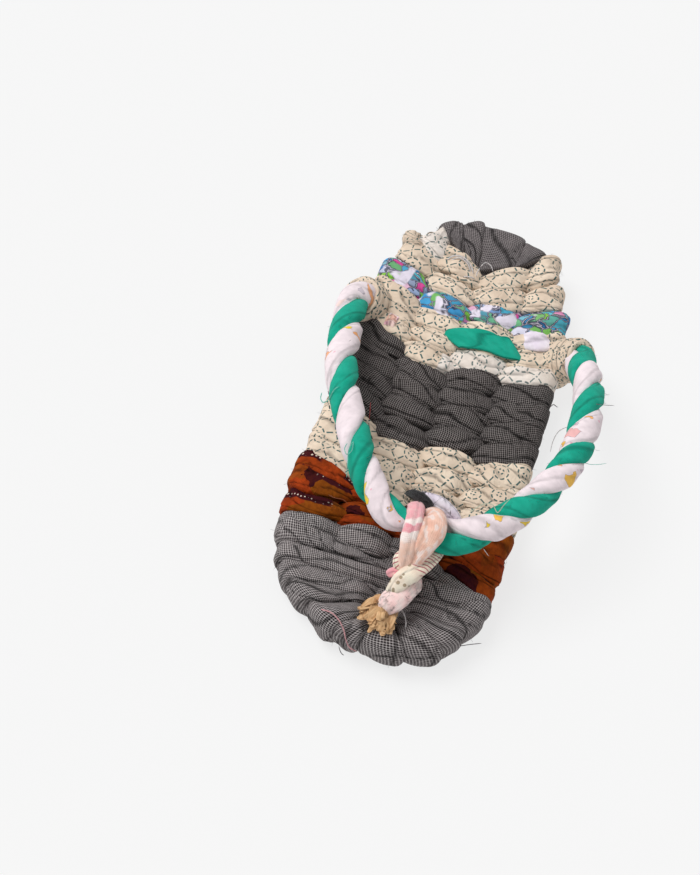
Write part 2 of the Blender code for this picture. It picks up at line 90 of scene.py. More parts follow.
THONG_ROOT = (6.6, -98.0)
SLIT_BACK = (6.0, -82.0)
TOE_CREASES = (-90.0, -74.4, -63.5, -51.8, -39.6, -22.2, -9.2, 13.6, 35.6, 52.3, 65.0, 76.5)  # degrees from the tip
HEEL_CREASES = (-0.44, -0.26, -0.08, 0.3, 0.48)  # share of the half width on the heel's border
HEEL_RIM = (-38.0, -24.0, -10.0, 17.0, 36.0)  # degrees from the tip, where these creases meet the rim

TOE_PADDING = (  # middle, half width, half height
    (0.0, -56.0, 10.5, 42.0, 5.0), (1.0, -80.0, 10.5, 41.0, 6.0), (3.5, -100.0, 10.5, 31.0, 6.0),
    (6.5, -113.0, 10.5, 16.0, 4.0))
HEEL_PADDING = ((0.0, 76.0, 10.5, 34.0, 5.0), (0.0, 96.0, 10.5, 31.0, 6.0), (0.0, 112.0, 10.5, 16.0, 4.0))
TOE_STRIP = (46.5, 57.3, 1, (0.96, 0.95, 0.95))  # woven at the toe's border: its start and end, strips, reach

SIDE_LOOPS = (  # node, middle of the lug, end of its collar
    ("side_loop_left", (-41.6, 54.0, 11.0), (-47.6, 50.2, 23.0)),
    ("side_loop_right", (45.6, 57.0, 11.0), (52.6, 53.6, 22.6)))
STRAP_ROUTE = (
    (-52.4, 43.5, 29.5), (-51.6, 33.0, 33.5), (-50.4, 18.0, 38.8), (-47.4, 0.0, 44.0), (-41.7, -17.0, 48.0),
    (-34.7, -32.0, 50.3), (-26.9, -46.0, 50.5), (-18.5, -58.0, 49.2), (-8.6, -67.0, 46.6), (1.5, -71.8, 44.2),
    (13.0, -73.0, 43.0), (25.0, -70.4, 42.8), (38.2, -60.6, 44.4), (50.8, -46.5, 47.4), (60.2, -30.0, 50.0),
    (65.2, -13.0, 50.6), (65.8, 3.0, 49.0), (64.6, 18.0, 45.4), (61.8, 33.0, 39.0), (57.6, 44.0, 31.5))
STRAND_CRESTS = (34, 57, 80, 100, 119, 138, 172, 195, 213, 233, 248, 259, 279, 299, 312)  # along the strap, by turns
UP_AND_FORWARD = (0.02, -0.53, 0.85)
THONG_CROSSING = (13.0, 9.5, -60.0)  # on the strap: x of its middle, how far it is felt to each side, y at its back

TUFT_ROOT = (5.6, -101.6, 25.6)
TUFT_TIPS = ((-4.6, -107.4, 24.4), (0.6, -110.2, 25.0), (4.3, -113.4, 24.4), (8.4, -113.4, 24.2), (11.8, -110.6, 23.9))

PLEAT_SIDE, PLEAT_EDGE = 0.24, 0.1  # shares of a pleat's breadth in which it rises and in which its edge drops
CREASE_BREADTH, LEVEL_GROUND = 0.16, 0.03  # in soft noise: half a crease's breadth, and a slope too flat for one
LOWEST_HAIR = 4.0  # above the floor

LAMP_HEADING = (0.62, -0.1, -1.0)
LAMP_BREADTH = 36.0  # degrees
AIM = (35.65, 2.5)  # the camera looks this far to the left of the middle of the sole's underside, and this far above it


def eased(table, place, column):
    """A table's column at each place, eased between its rows."""
    rows = np.array(table)
    at = np.clip(np.searchsorted(rows[:, 0], place, side="right") - 1, 0, len(rows) - 2)
    share = np.clip((place - rows[at, 0]) / (rows[at + 1, 0] - rows[at, 0]), 0.0, 1.0)
    return rows[at, column] + (rows[at + 1, column] - rows[at, column]) * (1.0 - np.cos(np.pi * share)) / 2.0


def end_width(end, from_tip):
    """Half the width of the toe's or the heel's end, at a distance from its tip."""
    length, width, roundness = end
    share = np.clip((length - from_tip) / length, 0.0, 1.0)
    return width * np.clip(1.0 - share**roundness, 0.0, 1.0) ** (1.0 / roundness)


def half_width(from_toe):
    """Half the sole's width at a distance from the tip of the toe."""
    middle = eased(SOLE_WIDTHS, from_toe, 1)
    toe, heel = end_width(TOE_END, from_toe), end_width(HEEL_END, LENGTH - from_toe)
    return np.where(from_toe < TOE_END[0], toe, np.where(from_toe > LENGTH - HEEL_END[0], heel, middle))


def skew(from_toe):
    """How far the sole's middle lies to the right at a distance from the tip of the toe."""
    return TOE_SKEW * np.clip(1.0 - from_toe / TOE_END[0], 0.0, 1.0) ** 3


def on_the_sole(across, along):
    """x and y of a place in the weave: its share of the half width, and its row's distance from the toe."""
    lag = np.where(across < 0.0, eased(BORDERS, along, 1), eased(BORDERS, along, 2))
    from_toe = along + lag * np.abs(across) ** eased(BORDERS, along, 3)
    return across * half_width(from_toe) + skew(from_toe), from_toe - LENGTH / 2.0


def on_the_rim(end, degrees):
    """x and y of the outline's point at an angle from the tip of the toe or the heel."""
    length, width, roundness = end
    sine, cosine = math.sin(math.radians(degrees)), math.cos(math.radians(degrees))
    size = (abs(sine) ** roundness + abs(cosine) ** roundness) ** (-1.0 / roundness)
    from_tip = length * (1.0 - size * cosine)
    if end is TOE_END:
        return np.array((width * size * sine + float(skew(from_tip)), from_tip - LENGTH / 2.0))
    return np.array((width * size * sine, LENGTH / 2.0 - from_tip))


def soft_noise(u, v, seed):
    """Smooth noise between -1 and 1, the same each time."""
    column, row = np.floor(u), np.floor(v)
    across, down = u - column, v - row
    across, down = across**2 * (3.0 - 2.0 * across), down**2 * (3.0 - 2.0 * down)

    def corner(i, j):
        mixed = np.sin((column + i) * 127.1 + (row + j) * 311.7 + seed * 74.7) * 43758.5453
        return 2.0 * (mixed - np.floor(mixed)) - 1.0

    low = corner(0, 0) + (corner(1, 0) - corner(0, 0)) * across
    high = corner(0, 1) + (corner(1, 1) - corner(0, 1)) * across
    return low + (high - low) * down


def wander(place, wave, seed):
    """Smooth noise along a line, with a bump about every wave millimetres."""
    return soft_noise(place / wave, place * 0.0, seed)


def signed_power(value, power):
    """A power of a number's size, with the number's sign."""
    return np.sign(value) * np.abs(value) ** power


def turned(first, second, angle):
    """Two directions turned by an angle in their plane, the first towards the second."""
    cosine, sine = np.cos(angle), np.sin(angle)
    return first * cosine + second * sine, second * cosine - first * sine


def unit(vectors):
    """The vectors' directions."""
    return vectors / np.maximum(np.linalg.norm(vectors, axis=-1, keepdims=True), 1e-9)


def travelled(line):
    """The length of a line up to each of its points."""
    return np.concatenate(([0.0], np.cumsum(np.linalg.norm(np.diff(line, axis=0), axis=1))))


def smooth_line(points, step):
    """Points about a step apart on a smooth curve through the given ones."""
    points = np.array(points, float)
    ends = np.concatenate(([2 * points[0] - points[1]], points, [2 * points[-1] - points[-2]]))
    t = np.linspace(0.0, 1.0, 17)[:-1, None]
    pieces = [0.5 * (2 * b + (c - a) * t + (2 * a - 5 * b + 4 * c - d) * t**2 + (3 * b - a - 3 * c + d) * t**3)
              for a, b, c, d in zip(ends, ends[1:], ends[2:], ends[3:])]
    fine = np.concatenate((*pieces, points[-1:]))
    length = travelled(fine)
    places = np.linspace(0.0, length[-1], max(3, round(length[-1] / step) + 1))
    return np.stack([np.interp(places, length, fine[:, axis]) for axis in range(3)], axis=1)


def across_line(line, towards):
    """At each point of a line: the direction square to it that faces towards, and the one square to both."""
    heading = unit(np.gradient(line, axis=0))
    towards = np.broadcast_to(np.array(towards, float), line.shape)
    facing = unit(towards - heading * np.sum(towards * heading, axis=1, keepdims=True))
    return facing, np.cross(heading, facing)


def wrap_cloth(line, sides, ups, girth=28, pleats=5.0, depth=0.7, seed=1, fullness=2.4, crumple=0.25, slant=0.5,
               creased=0.6):
    """A strip of cloth gathered round a line: its skin, closed at both ends, its flat coordinates and its hollows.

    sides and ups are half the strip's width and height as vectors. Pleats run lengthwise, and wander by slant pleats;
    creases cross them, to a share of their depth.
    """
    turn = np.linspace(0.0, 1.0, girth + 1)[None, :]
    angle = (turn - 0.5) * math.tau
    cosine, sine = np.cos(angle), np.sin(angle)
    across, rise = signed_power(cosine, 2.0 / fullness)[..., None], signed_power(sine, 2.0 / fullness)[..., None]
    width = np.linalg.norm(sides, axis=1)[:, None, None]
    height = np.linalg.norm(ups, axis=1)[:, None, None]
    skin = line[:, None] + sides[:, None] * across + ups[:, None] * rise
    outward = unit(sides[:, None] * cosine[..., None] / width**2 + ups[:, None] * sine[..., None] / height**2)
    along = travelled(line)[:, None]
    drift = slant * wander(along, 27.0, seed) + 0.3 * soft_noise(turn * 3.0, along / 15.0, seed + 1)
    step = (pleats * turn + drift) % 1.0
    ridge = np.clip(step / PLEAT_SIDE, 0.0, 1.0) * np.clip((1.0 - step) / PLEAT_EDGE, 0.3, 1.0) * (1.0 - 0.45 * step)
    strength = depth * (0.62 + 0.38 * soft_noise(turn * 4.0, along / 12.0, seed + 2))
    level = soft_noise(turn * 3.0 + along / 26.0, along / 17.0 - turn * 1.5, seed + 7)
    steepness = np.hypot(*np.gradient(level))
    fold = np.clip(1.0 - np.abs(level) / CREASE_BREADTH, 0.0, 1.0) * np.clip(steepness / LEVEL_GROUND, 0.0, 1.0)
    relief = crumple * soft_noise(turn * 6.0, along / 4.5, seed + 3) - strength * (1.0 - ridge) - creased * depth * fold
    skin = skin + outward * relief[..., None]
    skin[:, -1] = skin[:, 0]
    skin[0], skin[-1] = line[0], line[-1]
    around = np.cumsum(np.linalg.norm(np.diff(skin, axis=1, prepend=skin[:, :1]), axis=2), axis=1)
    around *= np.mean(around[2:-2, -1]) / np.maximum(around[:, -1:], 0.1)
    steps = np.quantile(np.linalg.norm(np.diff(skin, axis=0), axis=2), 0.75, axis=1)
    laid = np.concatenate(([0.0], np.cumsum(steps)))[:, None] + seed * 41.9 % 130.0
    flat = (around - around[:, [round(girth * 0.75)]] + 6.0, laid + 0.0 * angle)
    # The hollows give how deep each point lies in a pleat or crease; the materials paint shade into the colour there.
    return skin, np.stack(flat, axis=2), np.maximum(1.0 - ridge, 1.3 * creased * fold**3) * min(1.0, 3.0 * depth)


def spread(sizes, line, places=None):
    """Sizes given at a few shares of a line, or evenly spaced, for each of its points."""
    places = np.linspace(0.0, 1.0, len(sizes)) if places is None else places
    return np.interp(np.linspace(0.0, 1.0, len(line)), places, sizes)[:, None]


def tube(line, towards, wide, tall, slanted=0.0, **cloth):
    """Cloth gathered round a line, its height turned towards a direction; its ends may be cut at a slant."""
    above, side = across_line(line, towards)
    return wrap_cloth(line, (side + unit(np.gradient(line, axis=0)) * slanted) * wide, above * tall, **cloth)


def leave_nothing_selected():
    """Goes back to object mode, whatever mode the user left, and selects nothing."""
    if bpy.context.object and bpy.context.object.mode != "OBJECT":
        bpy.ops.object.mode_set(mode="OBJECT")
    bpy.ops.object.select_all(action="DESELECT")


def sew(name, skins, cloth, nodes=()):
    """Makes one piece of skins: a grid is added, its points are moved on to the skins, and each skin is closed."""
    around = skins[0][0].shape[1]
    points, flat, hollow = (np.concatenate([skin[part] for skin in skins]) for part in range(3))
    points, flat = points.reshape(-1, 3), flat.reshape(-1, 2)
    points[:, 2] = np.maximum(points[:, 2], 0.05)
    leave_nothing_selected()
    bpy.ops.mesh.primitive_grid_add(x_subdivisions=around - 1, y_subdivisions=len(points) // around - 1)
    piece = bpy.context.object
    piece.name = piece.data.name = name
    mesh = piece.data
    mesh.vertices.foreach_set("co", (points * MM).ravel())
    corners = np.zeros(len(mesh.loops), np.int32)
    mesh.loops.foreach_get("vertex_index", corners)
    mesh.uv_layers[0].name = "cloth"
    mesh.uv_layers[0].uv.foreach_set("vector", flat[corners].ravel())
    # hollow drives the shade painted into the cloth's colour in its pleats and creases.
    mesh.attributes.new("hollow", "FLOAT", "POINT").data.foreach_set("value", hollow.ravel())
    first_row = corners.reshape(-1, 4).min(axis=1) // around
    between = np.isin(first_row, np.cumsum([len(skin[0]) for skin in skins])[:-1] - 1)
    for parts in (mesh.vertices, mesh.edges):
        parts.foreach_set("select", np.zeros(len(parts), bool))
    mesh.polygons.foreach_set("select", between)
    bpy.ops.object.mode_set(mode="EDIT")
    bpy.ops.mesh.select_mode(type="FACE")
    if between.any():
        bpy.ops.mesh.delete(type="FACE")
    bpy.ops.mesh.select_all(action="SELECT")
    bpy.ops.mesh.remove_doubles(threshold=0.000001)
    bpy.ops.mesh.normals_make_consistent(inside=False)
    bpy.ops.object.mode_set(mode="OBJECT")
    bpy.ops.object.shade_smooth()
    mesh.materials.append(cloth_material(cloth))
    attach(piece, "root")
    if nodes:
        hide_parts(*nodes)
    return piece


# ---- the sole ----


def row_of(number, across):
    """The row of a woven strip's skin at a share of the half width, on the strip's pass of that number."""
    travelled_share = (across * (1.0 if number % 2 == 0 else -1.0) + OUTER_CORD) / OUTER_CORD
    return number * (WALK_ROWS + TURN_ROWS) + round(travelled_share * WALK_ROWS / 2)


def woven_strip(start, end, strips, rims, weave):
    """One cloth's strip on its way back and forth, over one cord and under the next: its line and half sizes."""
    height, reach = weave.strip_height / MM, MIDDLE_HEIGHT - weave.strip_height / MM
    pitch = (end - start) / strips
    middles = start + (np.arange(strips) + 0.5) * pitch
    zigzag = eased(BORDERS, middles, 4)
    rows = np.stack((middles - zigzag, middles + zigzag), axis=1).ravel()
    rows += weave.unevenness / MM * soft_noise(np.arange(2.0 * strips) * 0.77, rows * 0.0, start + 2.0)
    walk = np.linspace(-OUTER_CORD, OUTER_CORD, WALK_ROWS)
    turn = np.radians(np.linspace(90.0, -90.0, TURN_ROWS + 2))[1:-1]
    across, along, rise = [], [], []
    for number, (row, following) in enumerate(zip(rows, (*rows[1:], rows[-1]))):
        side = 1.0 if number % 2 == 0 else -1.0
        wave = np.cos(math.pi * (walk * side + OUTER_CORD) / CORD_PITCH) * -side
        reach_out = rims[2] if number == len(rows) - 1 else rims[1] if side > 0 else rims[0]
        across += [walk * side, side * (OUTER_CORD + (reach_out - OUTER_CORD) * np.cos(turn) ** 0.55)]
        along += [np.full(len(walk), row), row + (following - row) * (1.0 - np.sin(turn)) / 2.0]
        rise += [wave, np.sin(turn)]
    across, along, rise = (np.concatenate(part) for part in (across, along, rise))
    x, y = on_the_sole(across, along)
    line = np.stack((x, y, MIDDLE_HEIGHT + reach * signed_power(rise, weave.flatness)), axis=1)
    place = travelled(line)
    line[:, 1] += weave.wobble / MM * wander(place, 15.0, start)
    line[:, 2] += 0.4 * wander(place, 9.0, start + 4.0)
    on_cord = np.where(np.abs(across) < OUTER_CORD, np.abs(rise), 1.0)
    ahead, behind = on_the_sole(across, along - pitch / 2.0), on_the_sole(across, along + pitch / 2.0)
    wide = np.hypot(ahead[0] - behind[0], ahead[1] - behind[1]) / 2.0
    wide *= weave.crossing + (weave.overlap - weave.crossing) * on_cord**0.8
    wide = np.minimum(wide * (1.0 + 0.14 * wander(place, 13.0, start + 5.0)), WIDEST_STRIP)
    tall = height + 0.5 * (1.0 - on_cord)
    tilt = weave.tilt * wander(place, 19.0, start + 9.0)[:, None]
    side, up = turned(*across_line(line, (0.0, 1.0, 0.0)), tilt)
    return line, side * wide[:, None], up * tall[:, None]


def laid_over(strip, line, start, end, seed):
    """A second rag that follows part of a strip just outside it; its ends slip under the strip's pleats."""
    skin, flat, hollow = (part[start:end].copy() for part in strip)
    rows = np.arange(end - start)[:, None]
    lift = np.interp(np.minimum(rows, rows[::-1]), (0, 1, 5), (-1.2, -0.6, 0.55))
    lift = lift + 0.2 * soft_noise(rows / 3.0, flat[..., 0] / 3.0, seed)
    skin += unit(skin - line[start:end, None]) * lift[..., None]
    skin[0], skin[-1] = line[start], line[end - 1]
    return skin, flat + 4.0, hollow


def round_the_rim(start, rim, dip, proud):
    """The outer line of a fold of a cap: from its start on top out to the rim, round it and back underneath."""
    outward = unit(rim - start)
    rounding = min(ROUNDING, 0.7 * float(np.linalg.norm(rim - start)))
    knee = rim + outward * (proud - rounding)
    out = np.linspace(0.0, 1.0, 34)[:, None]
    turn = np.radians(np.linspace(90.0, -90.0, 27))[1:-1]
    top = start + (knee - start) * out
    middle = knee + outward * (rounding * np.cos(turn) ** 0.8)[:, None]
    bottom = top[::-2]
    height = np.concatenate((
        2.0 * MIDDLE_HEIGHT - dip(top),
        MIDDLE_HEIGHT * (1.0 + signed_power(np.sin(turn), 0.9)),
        np.zeros(len(bottom))))
    return np.column_stack((np.concatenate((top, middle, bottom)), height))


def folds(starts, rims, dip, proud, overlap, caps, seed):
    """The folds of a cap, each between two creases that run from their starts out to the rim."""
    creases = [round_the_rim(start, rim, dip, proud) for start, rim in zip(starts, rims)]
    skins = []
    for number, (left, right) in enumerate(zip(creases, creases[1:])):
        outer, between = (left + right) / 2.0, (right - left) / 2.0
        heading = unit(np.gradient(outer, axis=0))
        wide = np.maximum(np.linalg.norm(between, axis=1) * overlap, 1.8)
        beside = unit(between + 0.02 * between[20])
        above = unit(np.cross(heading, beside))
        above *= np.sign(above[10, 2])
        tall = np.clip(caps.fullness * wide + 0.8, 2.2, caps.fold_height / MM)
        beside, above = turned(beside, above, caps.shingle * (0.6 + 0.4 * math.sin(seed + number * 2.3)))
        line = outer - above * tall[:, None]
        line[:, 2] = np.maximum(line[:, 2], tall * 0.9)
        skins.append(wrap_cloth(line, beside * wide[:, None], above * tall[:, None], girth=44,
                                fullness=2.9, pleats=caps.pleats, depth=caps.pleat_depth / MM, seed=seed + number * 7.0,
                                slant=1.8, creased=0.85))
    return skins


def padding(rows):
    """The rags that fill a cap between the folds on top and those underneath."""
    rows = np.array(rows)
    return rag_rope(rows[:, :3], rows[:, 3], rows[:, 4], (0.0, 0.0, 1.0), girth=44, pleats=7.0, depth=0.6, seed=51.0)


def toe_dip(place):
    """How far the folds of the toe sink where the thong comes out of them."""
    root = np.array(THONG_ROOT)
    away = np.linalg.norm((place - root) * (1.0, 0.8), axis=1)
    return 7.0 * np.exp(-((away / 10.5) ** 4))


def heel_dip(place):
    """How far the folds of the heel sink at the notch in its border."""
    notch = np.stack(on_the_sole(np.array(0.0), np.array(BORDERS[-1][0])))
    return 4.5 * np.exp(-((np.linalg.norm(place - notch, axis=1) / 9.0) ** 2))


# ---- the strap, its loops and the thong ----


def strap_line():
    """The strap's middle line, with its ends inside the collars of the side loops."""
    ends = []
    for _, middle, collar in SIDE_LOOPS:
        heading = unit(np.array(collar) - np.array(middle))
        ends.append([np.array(collar) - heading * 5.0, np.array(collar) + heading * 5.0])
    return smooth_line([*ends[0], *STRAP_ROUTE, *reversed(ends[1])], 1.2)


def twisted(line, angle, offset, wide, tall, pushed, **cloth):
    """A strand that lies off a line, turning round it, pressed flat towards it, and pushed aside at the thong."""
    out, _ = turned(*across_line(line, UP_AND_FORWARD), angle[:, None])
    place = travelled(line)
    slim = np.interp(np.minimum(place, place[-1] - place), (0.0, 11.0), (0.55, 1.0))
    middle = line + out * (offset * slim)[:, None]
    crossing, reach, back = THONG_CROSSING
    at_thong = np.exp(-(((line[:, :1] - crossing) / reach) ** 2)) * (line[:, 1:2] < back)
    above, side = across_line(middle, out)
    middle = middle + at_thong * np.array(pushed)
    swell = slim * (1.0 + 0.07 * wander(place, 14.0, cloth["seed"] + 3.0))
    return wrap_cloth(middle, side * (wide * swell)[:, None], above * (tall * swell)[:, None], **cloth)


def rag_rope(points, wide, tall, towards=(0.0, -0.6, 0.8), **cloth):
    """A strip of rag gathered round a smooth line through a few points."""
    line = smooth_line(points, 0.8)
    return tube(line, towards, spread(wide, line), spread(tall, line), **cloth)


def thread(points, radius):
    """A loose end of yarn."""
    line = smooth_line(points, 1.0)
    radius = radius * spread((0.9, 1.0, 1.0, 0.5), line, (0.0, 0.1, 0.85, 1.0))
    return tube(line, (0.1, 0.3, 1.0), radius, radius, girth=6, depth=0.0, crumple=0.0, fullness=2.0)


THONG_TURNS = (  # piece, cloth, half widths, half heights, depth of its pleats, route; the turns go over the strap
    ("thong_turn_left", "banded_flannel",
     (3.0, 3.6, 3.8, 4.0, 4.1, 3.8, 3.4), (2.8, 3.4, 3.8, 4.1, 4.2, 3.8, 3.0), 0.6, (
        (9.5, -92.0, 26.0), (9.5, -84.0, 30.0), (9.0, -73.0, 34.5), (7.8, -66.8, 40.0), (6.6, -65.6, 46.5),
        (5.9, -67.4, 51.6), (6.1, -70.4, 54.0), (6.5, -75.0, 55.0), (6.7, -79.2, 54.4), (7.0, -82.6, 52.4),
        (7.5, -85.2, 49.2), (8.1, -87.4, 45.4), (8.5, -89.2, 41.4), (9.2, -90.5, 38.0))),
    ("thong_turn_right", "peach_flannel",
     (3.0, 3.6, 4.2, 5.5, 6.5, 5.2, 3.4), (2.8, 3.4, 3.8, 4.2, 4.6, 4.2, 3.0), 1.3, (
        (11.6, -92.0, 26.0), (12.0, -84.0, 30.5), (13.2, -74.0, 35.0), (13.6, -68.0, 40.6), (13.6, -66.8, 46.4),
        (14.4, -68.8, 50.8), (15.0, -71.6, 53.0), (15.4, -75.6, 53.8), (15.0, -79.4, 53.2), (14.0, -82.6, 51.2),
        (12.7, -84.9, 47.8), (11.6, -87.0, 43.6), (10.4, -89.6, 39.5))),
    ("thong_strand_striped", "striped_cream", (3.0, 3.8, 4.4, 4.6, 4.2, 3.0), (2.8, 3.4, 4.0, 4.2, 4.0, 2.6), 1.1, (
        (20.6, -73.6, 35.5), (18.9, -80.0, 39.2), (16.4, -85.9, 41.2), (13.6, -90.9, 41.4), (10.6, -94.8, 40.2),
        (8.2, -98.2, 37.6), (6.8, -100.4, 33.0))),
    ("thong_strand_pale", "pale_flannel", (2.6, 4.4, 5.2, 5.8, 5.6, 4.0), (2.2, 3.9, 5.0, 5.4, 5.0, 3.8), 1.0, (
        (16.4, -88.5, 31.0), (15.0, -91.8, 33.0), (13.4, -95.0, 33.9), (11.7, -97.9, 33.8), (9.8, -100.9, 32.4),
        (7.5, -103.0, 29.6), (5.9, -104.3, 25.6))),
    ("thong_scrap_rose", "rose_flannel", (1.6, 2.4, 2.4, 1.6), (1.4, 2.0, 2.0, 1.4), 0.4, (
        (2.4, -94.4, 36.6), (4.3, -93.2, 38.2), (6.6, -92.6, 38.4), (8.8, -91.6, 36.6))),
    ("thong_scrap_print", "striped_cream", (1.6, 2.8, 3.0, 2.2), (1.4, 2.2, 2.4, 1.8), 0.5, (
        (7.2, -84.4, 45.4), (5.5, -87.6, 43.6), (5.9, -89.6, 41.8), (7.6, -90.4, 40.0), (9.6, -90.2, 38.4))),
    ("thong_scrap_black", "black_fluff", (1.0, 2.4, 2.9, 2.5, 1.2), (0.8, 1.7, 2.0, 1.7, 0.9), 0.9, (
        (-1.0, -57.6, 46.4), (2.6, -58.4, 48.8), (6.9, -60.2, 50.2), (10.6, -62.2, 50.4), (13.0, -64.4, 48.8))),
    ("thong_scrap_white", "lilac_cotton", (2.2, 3.2, 3.5, 2.8, 1.4), (1.6, 2.2, 2.4, 2.0, 1.2), 0.6, (
        (5.3, -56.0, 45.0), (9.2, -57.6, 47.5), (13.6, -58.5, 48.5), (18.7, -59.8, 48.0),
        (22.7, -60.6, 46.0), (25.5, -61.2, 43.0))))

SCRAPS = (  # piece, cloth, band, half width and half height, slant of its ends, route over the top of the weave
    ("scrap_green", "emerald", "band_cream_mid", 5.6, 1.2, 0.75, (
        (-5.2, 44.6, 20.4), (-1.6, 45.8, 21.9), (4.0, 47.6, 22.4), (11.1, 48.7, 22.6), (18.9, 48.8, 22.4),
        (23.6, 49.6, 21.8), (26.6, 50.4, 20.4))),
    ("scrap_print_left", "blob_print", "band_cream_mid", 2.6, 1.3, 0.0, (
        (-34.9, 38.8, 15.0), (-34.0, 42.0, 19.8), (-33.4, 45.7, 21.0), (-32.6, 48.6, 19.8), (-31.9, 51.3, 15.0))))

LOOSE_THREADS = {  # yarn: radius and route of each of its loose ends
    "green_yarn": (
        (0.22, ((-50.6, -21.0, 47.0), (-50.2, -24.4, 47.0), (-48.4, -26.6, 47.8), (-46.4, -25.9, 50.5),
                (-45.4, -23.0, 54.6), (-43.6, -20.6, 55.6))),
        (0.2, ((-31.8, -47.4, 55.2), (-32.2, -51.3, 56.2), (-30.4, -54.6, 57.4), (-28.8, -52.4, 58.2),
               (-29.6, -47.6, 58.0), (-30.2, -52.2, 57.2), (-28.9, -57.7, 56.2), (-27.2, -64.1, 54.0))),
        (0.12, ((69.6, -16.2, 50.0), (73.0, -16.4, 50.4), (77.0, -15.0, 50.6), (80.0, -13.1, 50.4)))),
    "red_yarn": (
        (0.2, ((-29.8, -2.4, 22.6), (-29.3, -5.2, 23.6), (-28.4, -8.9, 23.4), (-27.8, -12.0, 22.2))),),
    "white_yarn": (
        (0.2, ((55.0, -3.0, 29.0), (54.6, 0.2, 33.0), (55.3, 2.4, 38.0), (57.4, 2.6, 43.0), (60.6, 1.5, 48.5))),
        (0.3, ((10.8, -100.0, 24.0), (14.2, -102.5, 23.9), (16.4, -105.4, 22.9), (17.3, -108.8, 22.6))),
        (0.2, ((-2.0, 88.6, 22.0), (-0.4, 91.6, 22.6), (2.4, 91.2, 22.4), (4.6, 88.2, 22.0))),
        (0.36, ((-18.3, 87.6, 20.5), (-15.5, 90.0, 22.4), (-11.1, 90.6, 22.8), (-7.3, 88.5, 22.4), (-4.8, 85.8, 21.4),
                (-3.8, 83.9, 19.6))),
        (0.3, ((-16.5, 88.0, 20.5), (-12.7, 89.6, 22.8), (-8.1, 88.0, 22.4), (-5.0, 84.3, 20.5))),
        (0.26, ((-2.4, 83.3, 20.5), (-2.5, 85.3, 22.0), (-1.9, 87.7, 23.0))),
        (0.3, ((-8.5, 81.5, 20.5), (-4.9, 81.2, 22.4), (-2.4, 82.2, 20.5))),
        (0.18, ((39.2, -57.0, 20.6), (42.8, -60.1, 20.4), (46.4, -61.4, 16.8), (50.4, -64.4, 12.0))),
        (0.3, ((-46.0, 53.0, 27.0), (-50.3, 48.8, 31.4), (-53.4, 45.0, 33.0), (-56.4, 41.0, 32.0))),
        (0.3, ((-46.2, 50.0, 28.0), (-50.7, 46.0, 32.0), (-54.4, 42.0, 33.4)))),
    "grey_yarn": (
        (0.13, ((62.6, 14.4, 52.0), (65.8, 13.4, 53.0), (69.8, 14.0, 53.0), (76.0, 17.2, 51.0))),
        (0.2, ((38.6, -103.4, 10.0), (42.4, -101.7, 9.4), (46.5, -99.0, 8.6), (51.5, -96.4, 8.4))),
        (0.2, ((-8.4, -120.0, 9.0), (-6.6, -122.0, 7.4), (-4.8, -121.8, 5.0))),
        (0.2, ((48.4, 30.6, 12.0), (50.0, 34.2, 10.4), (50.6, 36.0, 8.6), (53.0, 35.4, 8.0)))),
    "pale_green_yarn": (
        (0.2, ((28.4, -59.4, 50.6), (33.0, -54.2, 51.8), (37.0, -54.0, 53.6), (40.1, -57.6, 54.4), (41.6, -54.0, 55.4),
               (43.8, -48.6, 55.2))),
        (0.18, ((16.0, 56.0, 22.6), (14.0, 60.0, 23.0), (11.4, 63.0, 22.6), (12.0, 66.0, 22.4)))),
    "rose_yarn": (
        (0.3, ((-20.7, -112.4, 21.6), (-16.1, -112.8, 22.6), (-12.0, -114.7, 22.4), (-8.3, -117.8, 20.6),
               (-6.0, -120.6, 17.6), (-3.4, -121.6, 13.4), (0.6, -121.2, 11.0))),),
    "rust_yarn": (
        (0.16, ((-34.0, -56.0, 22.2), (-31.0, -57.0, 22.8), (-27.0, -56.4, 22.6), (-24.0, -57.8, 22.2))),)}

FIBRES = (  # piece they stand on, its node, yarn, how many
    ("folded_toe_cap", "toe_cap", "grey_yarn", 420),
    ("folded_heel_cap", "heel_cap", "grey_yarn", 300),
    ("woven_band_grey_mid", "band_grey_mid", "grey_yarn", 240),
    ("woven_band_brown", "band_brown", "rust_yarn", 160),
    ("woven_band_cream_front", "band_cream_front", "white_yarn", 220),
    ("woven_band_cream_mid", "band_cream_mid", "white_yarn", 200),
    ("woven_band_cream_heel", "band_cream_heel", "white_yarn", 200),
    ("strap_strand_green", "strap", "green_yarn", 160))


def wound(line, turns, wide, tall, towards, strip, **cloth):
    """A strip wound round a line, turn by turn; strip is its half width and half thickness."""
    share = np.linspace(0.0, 1.0, round(turns * 40) + 1)
    length = travelled(line)
    middle = np.stack([np.interp(share * length[-1], length, line[:, axis]) for axis in range(3)], axis=1)
    facing, beside = across_line(middle, towards)
    angle = share[:, None] * turns * math.tau
    shrink = spread((1.0, 1.0, 0.9), middle, (0.0, 0.8, 1.0))
    route = middle + (facing * np.cos(angle) * (wide - strip[1]) + beside * np.sin(angle) * (tall - strip[1])) * shrink
    return tube(route, turned(facing, beside, angle)[0], *strip, **cloth)


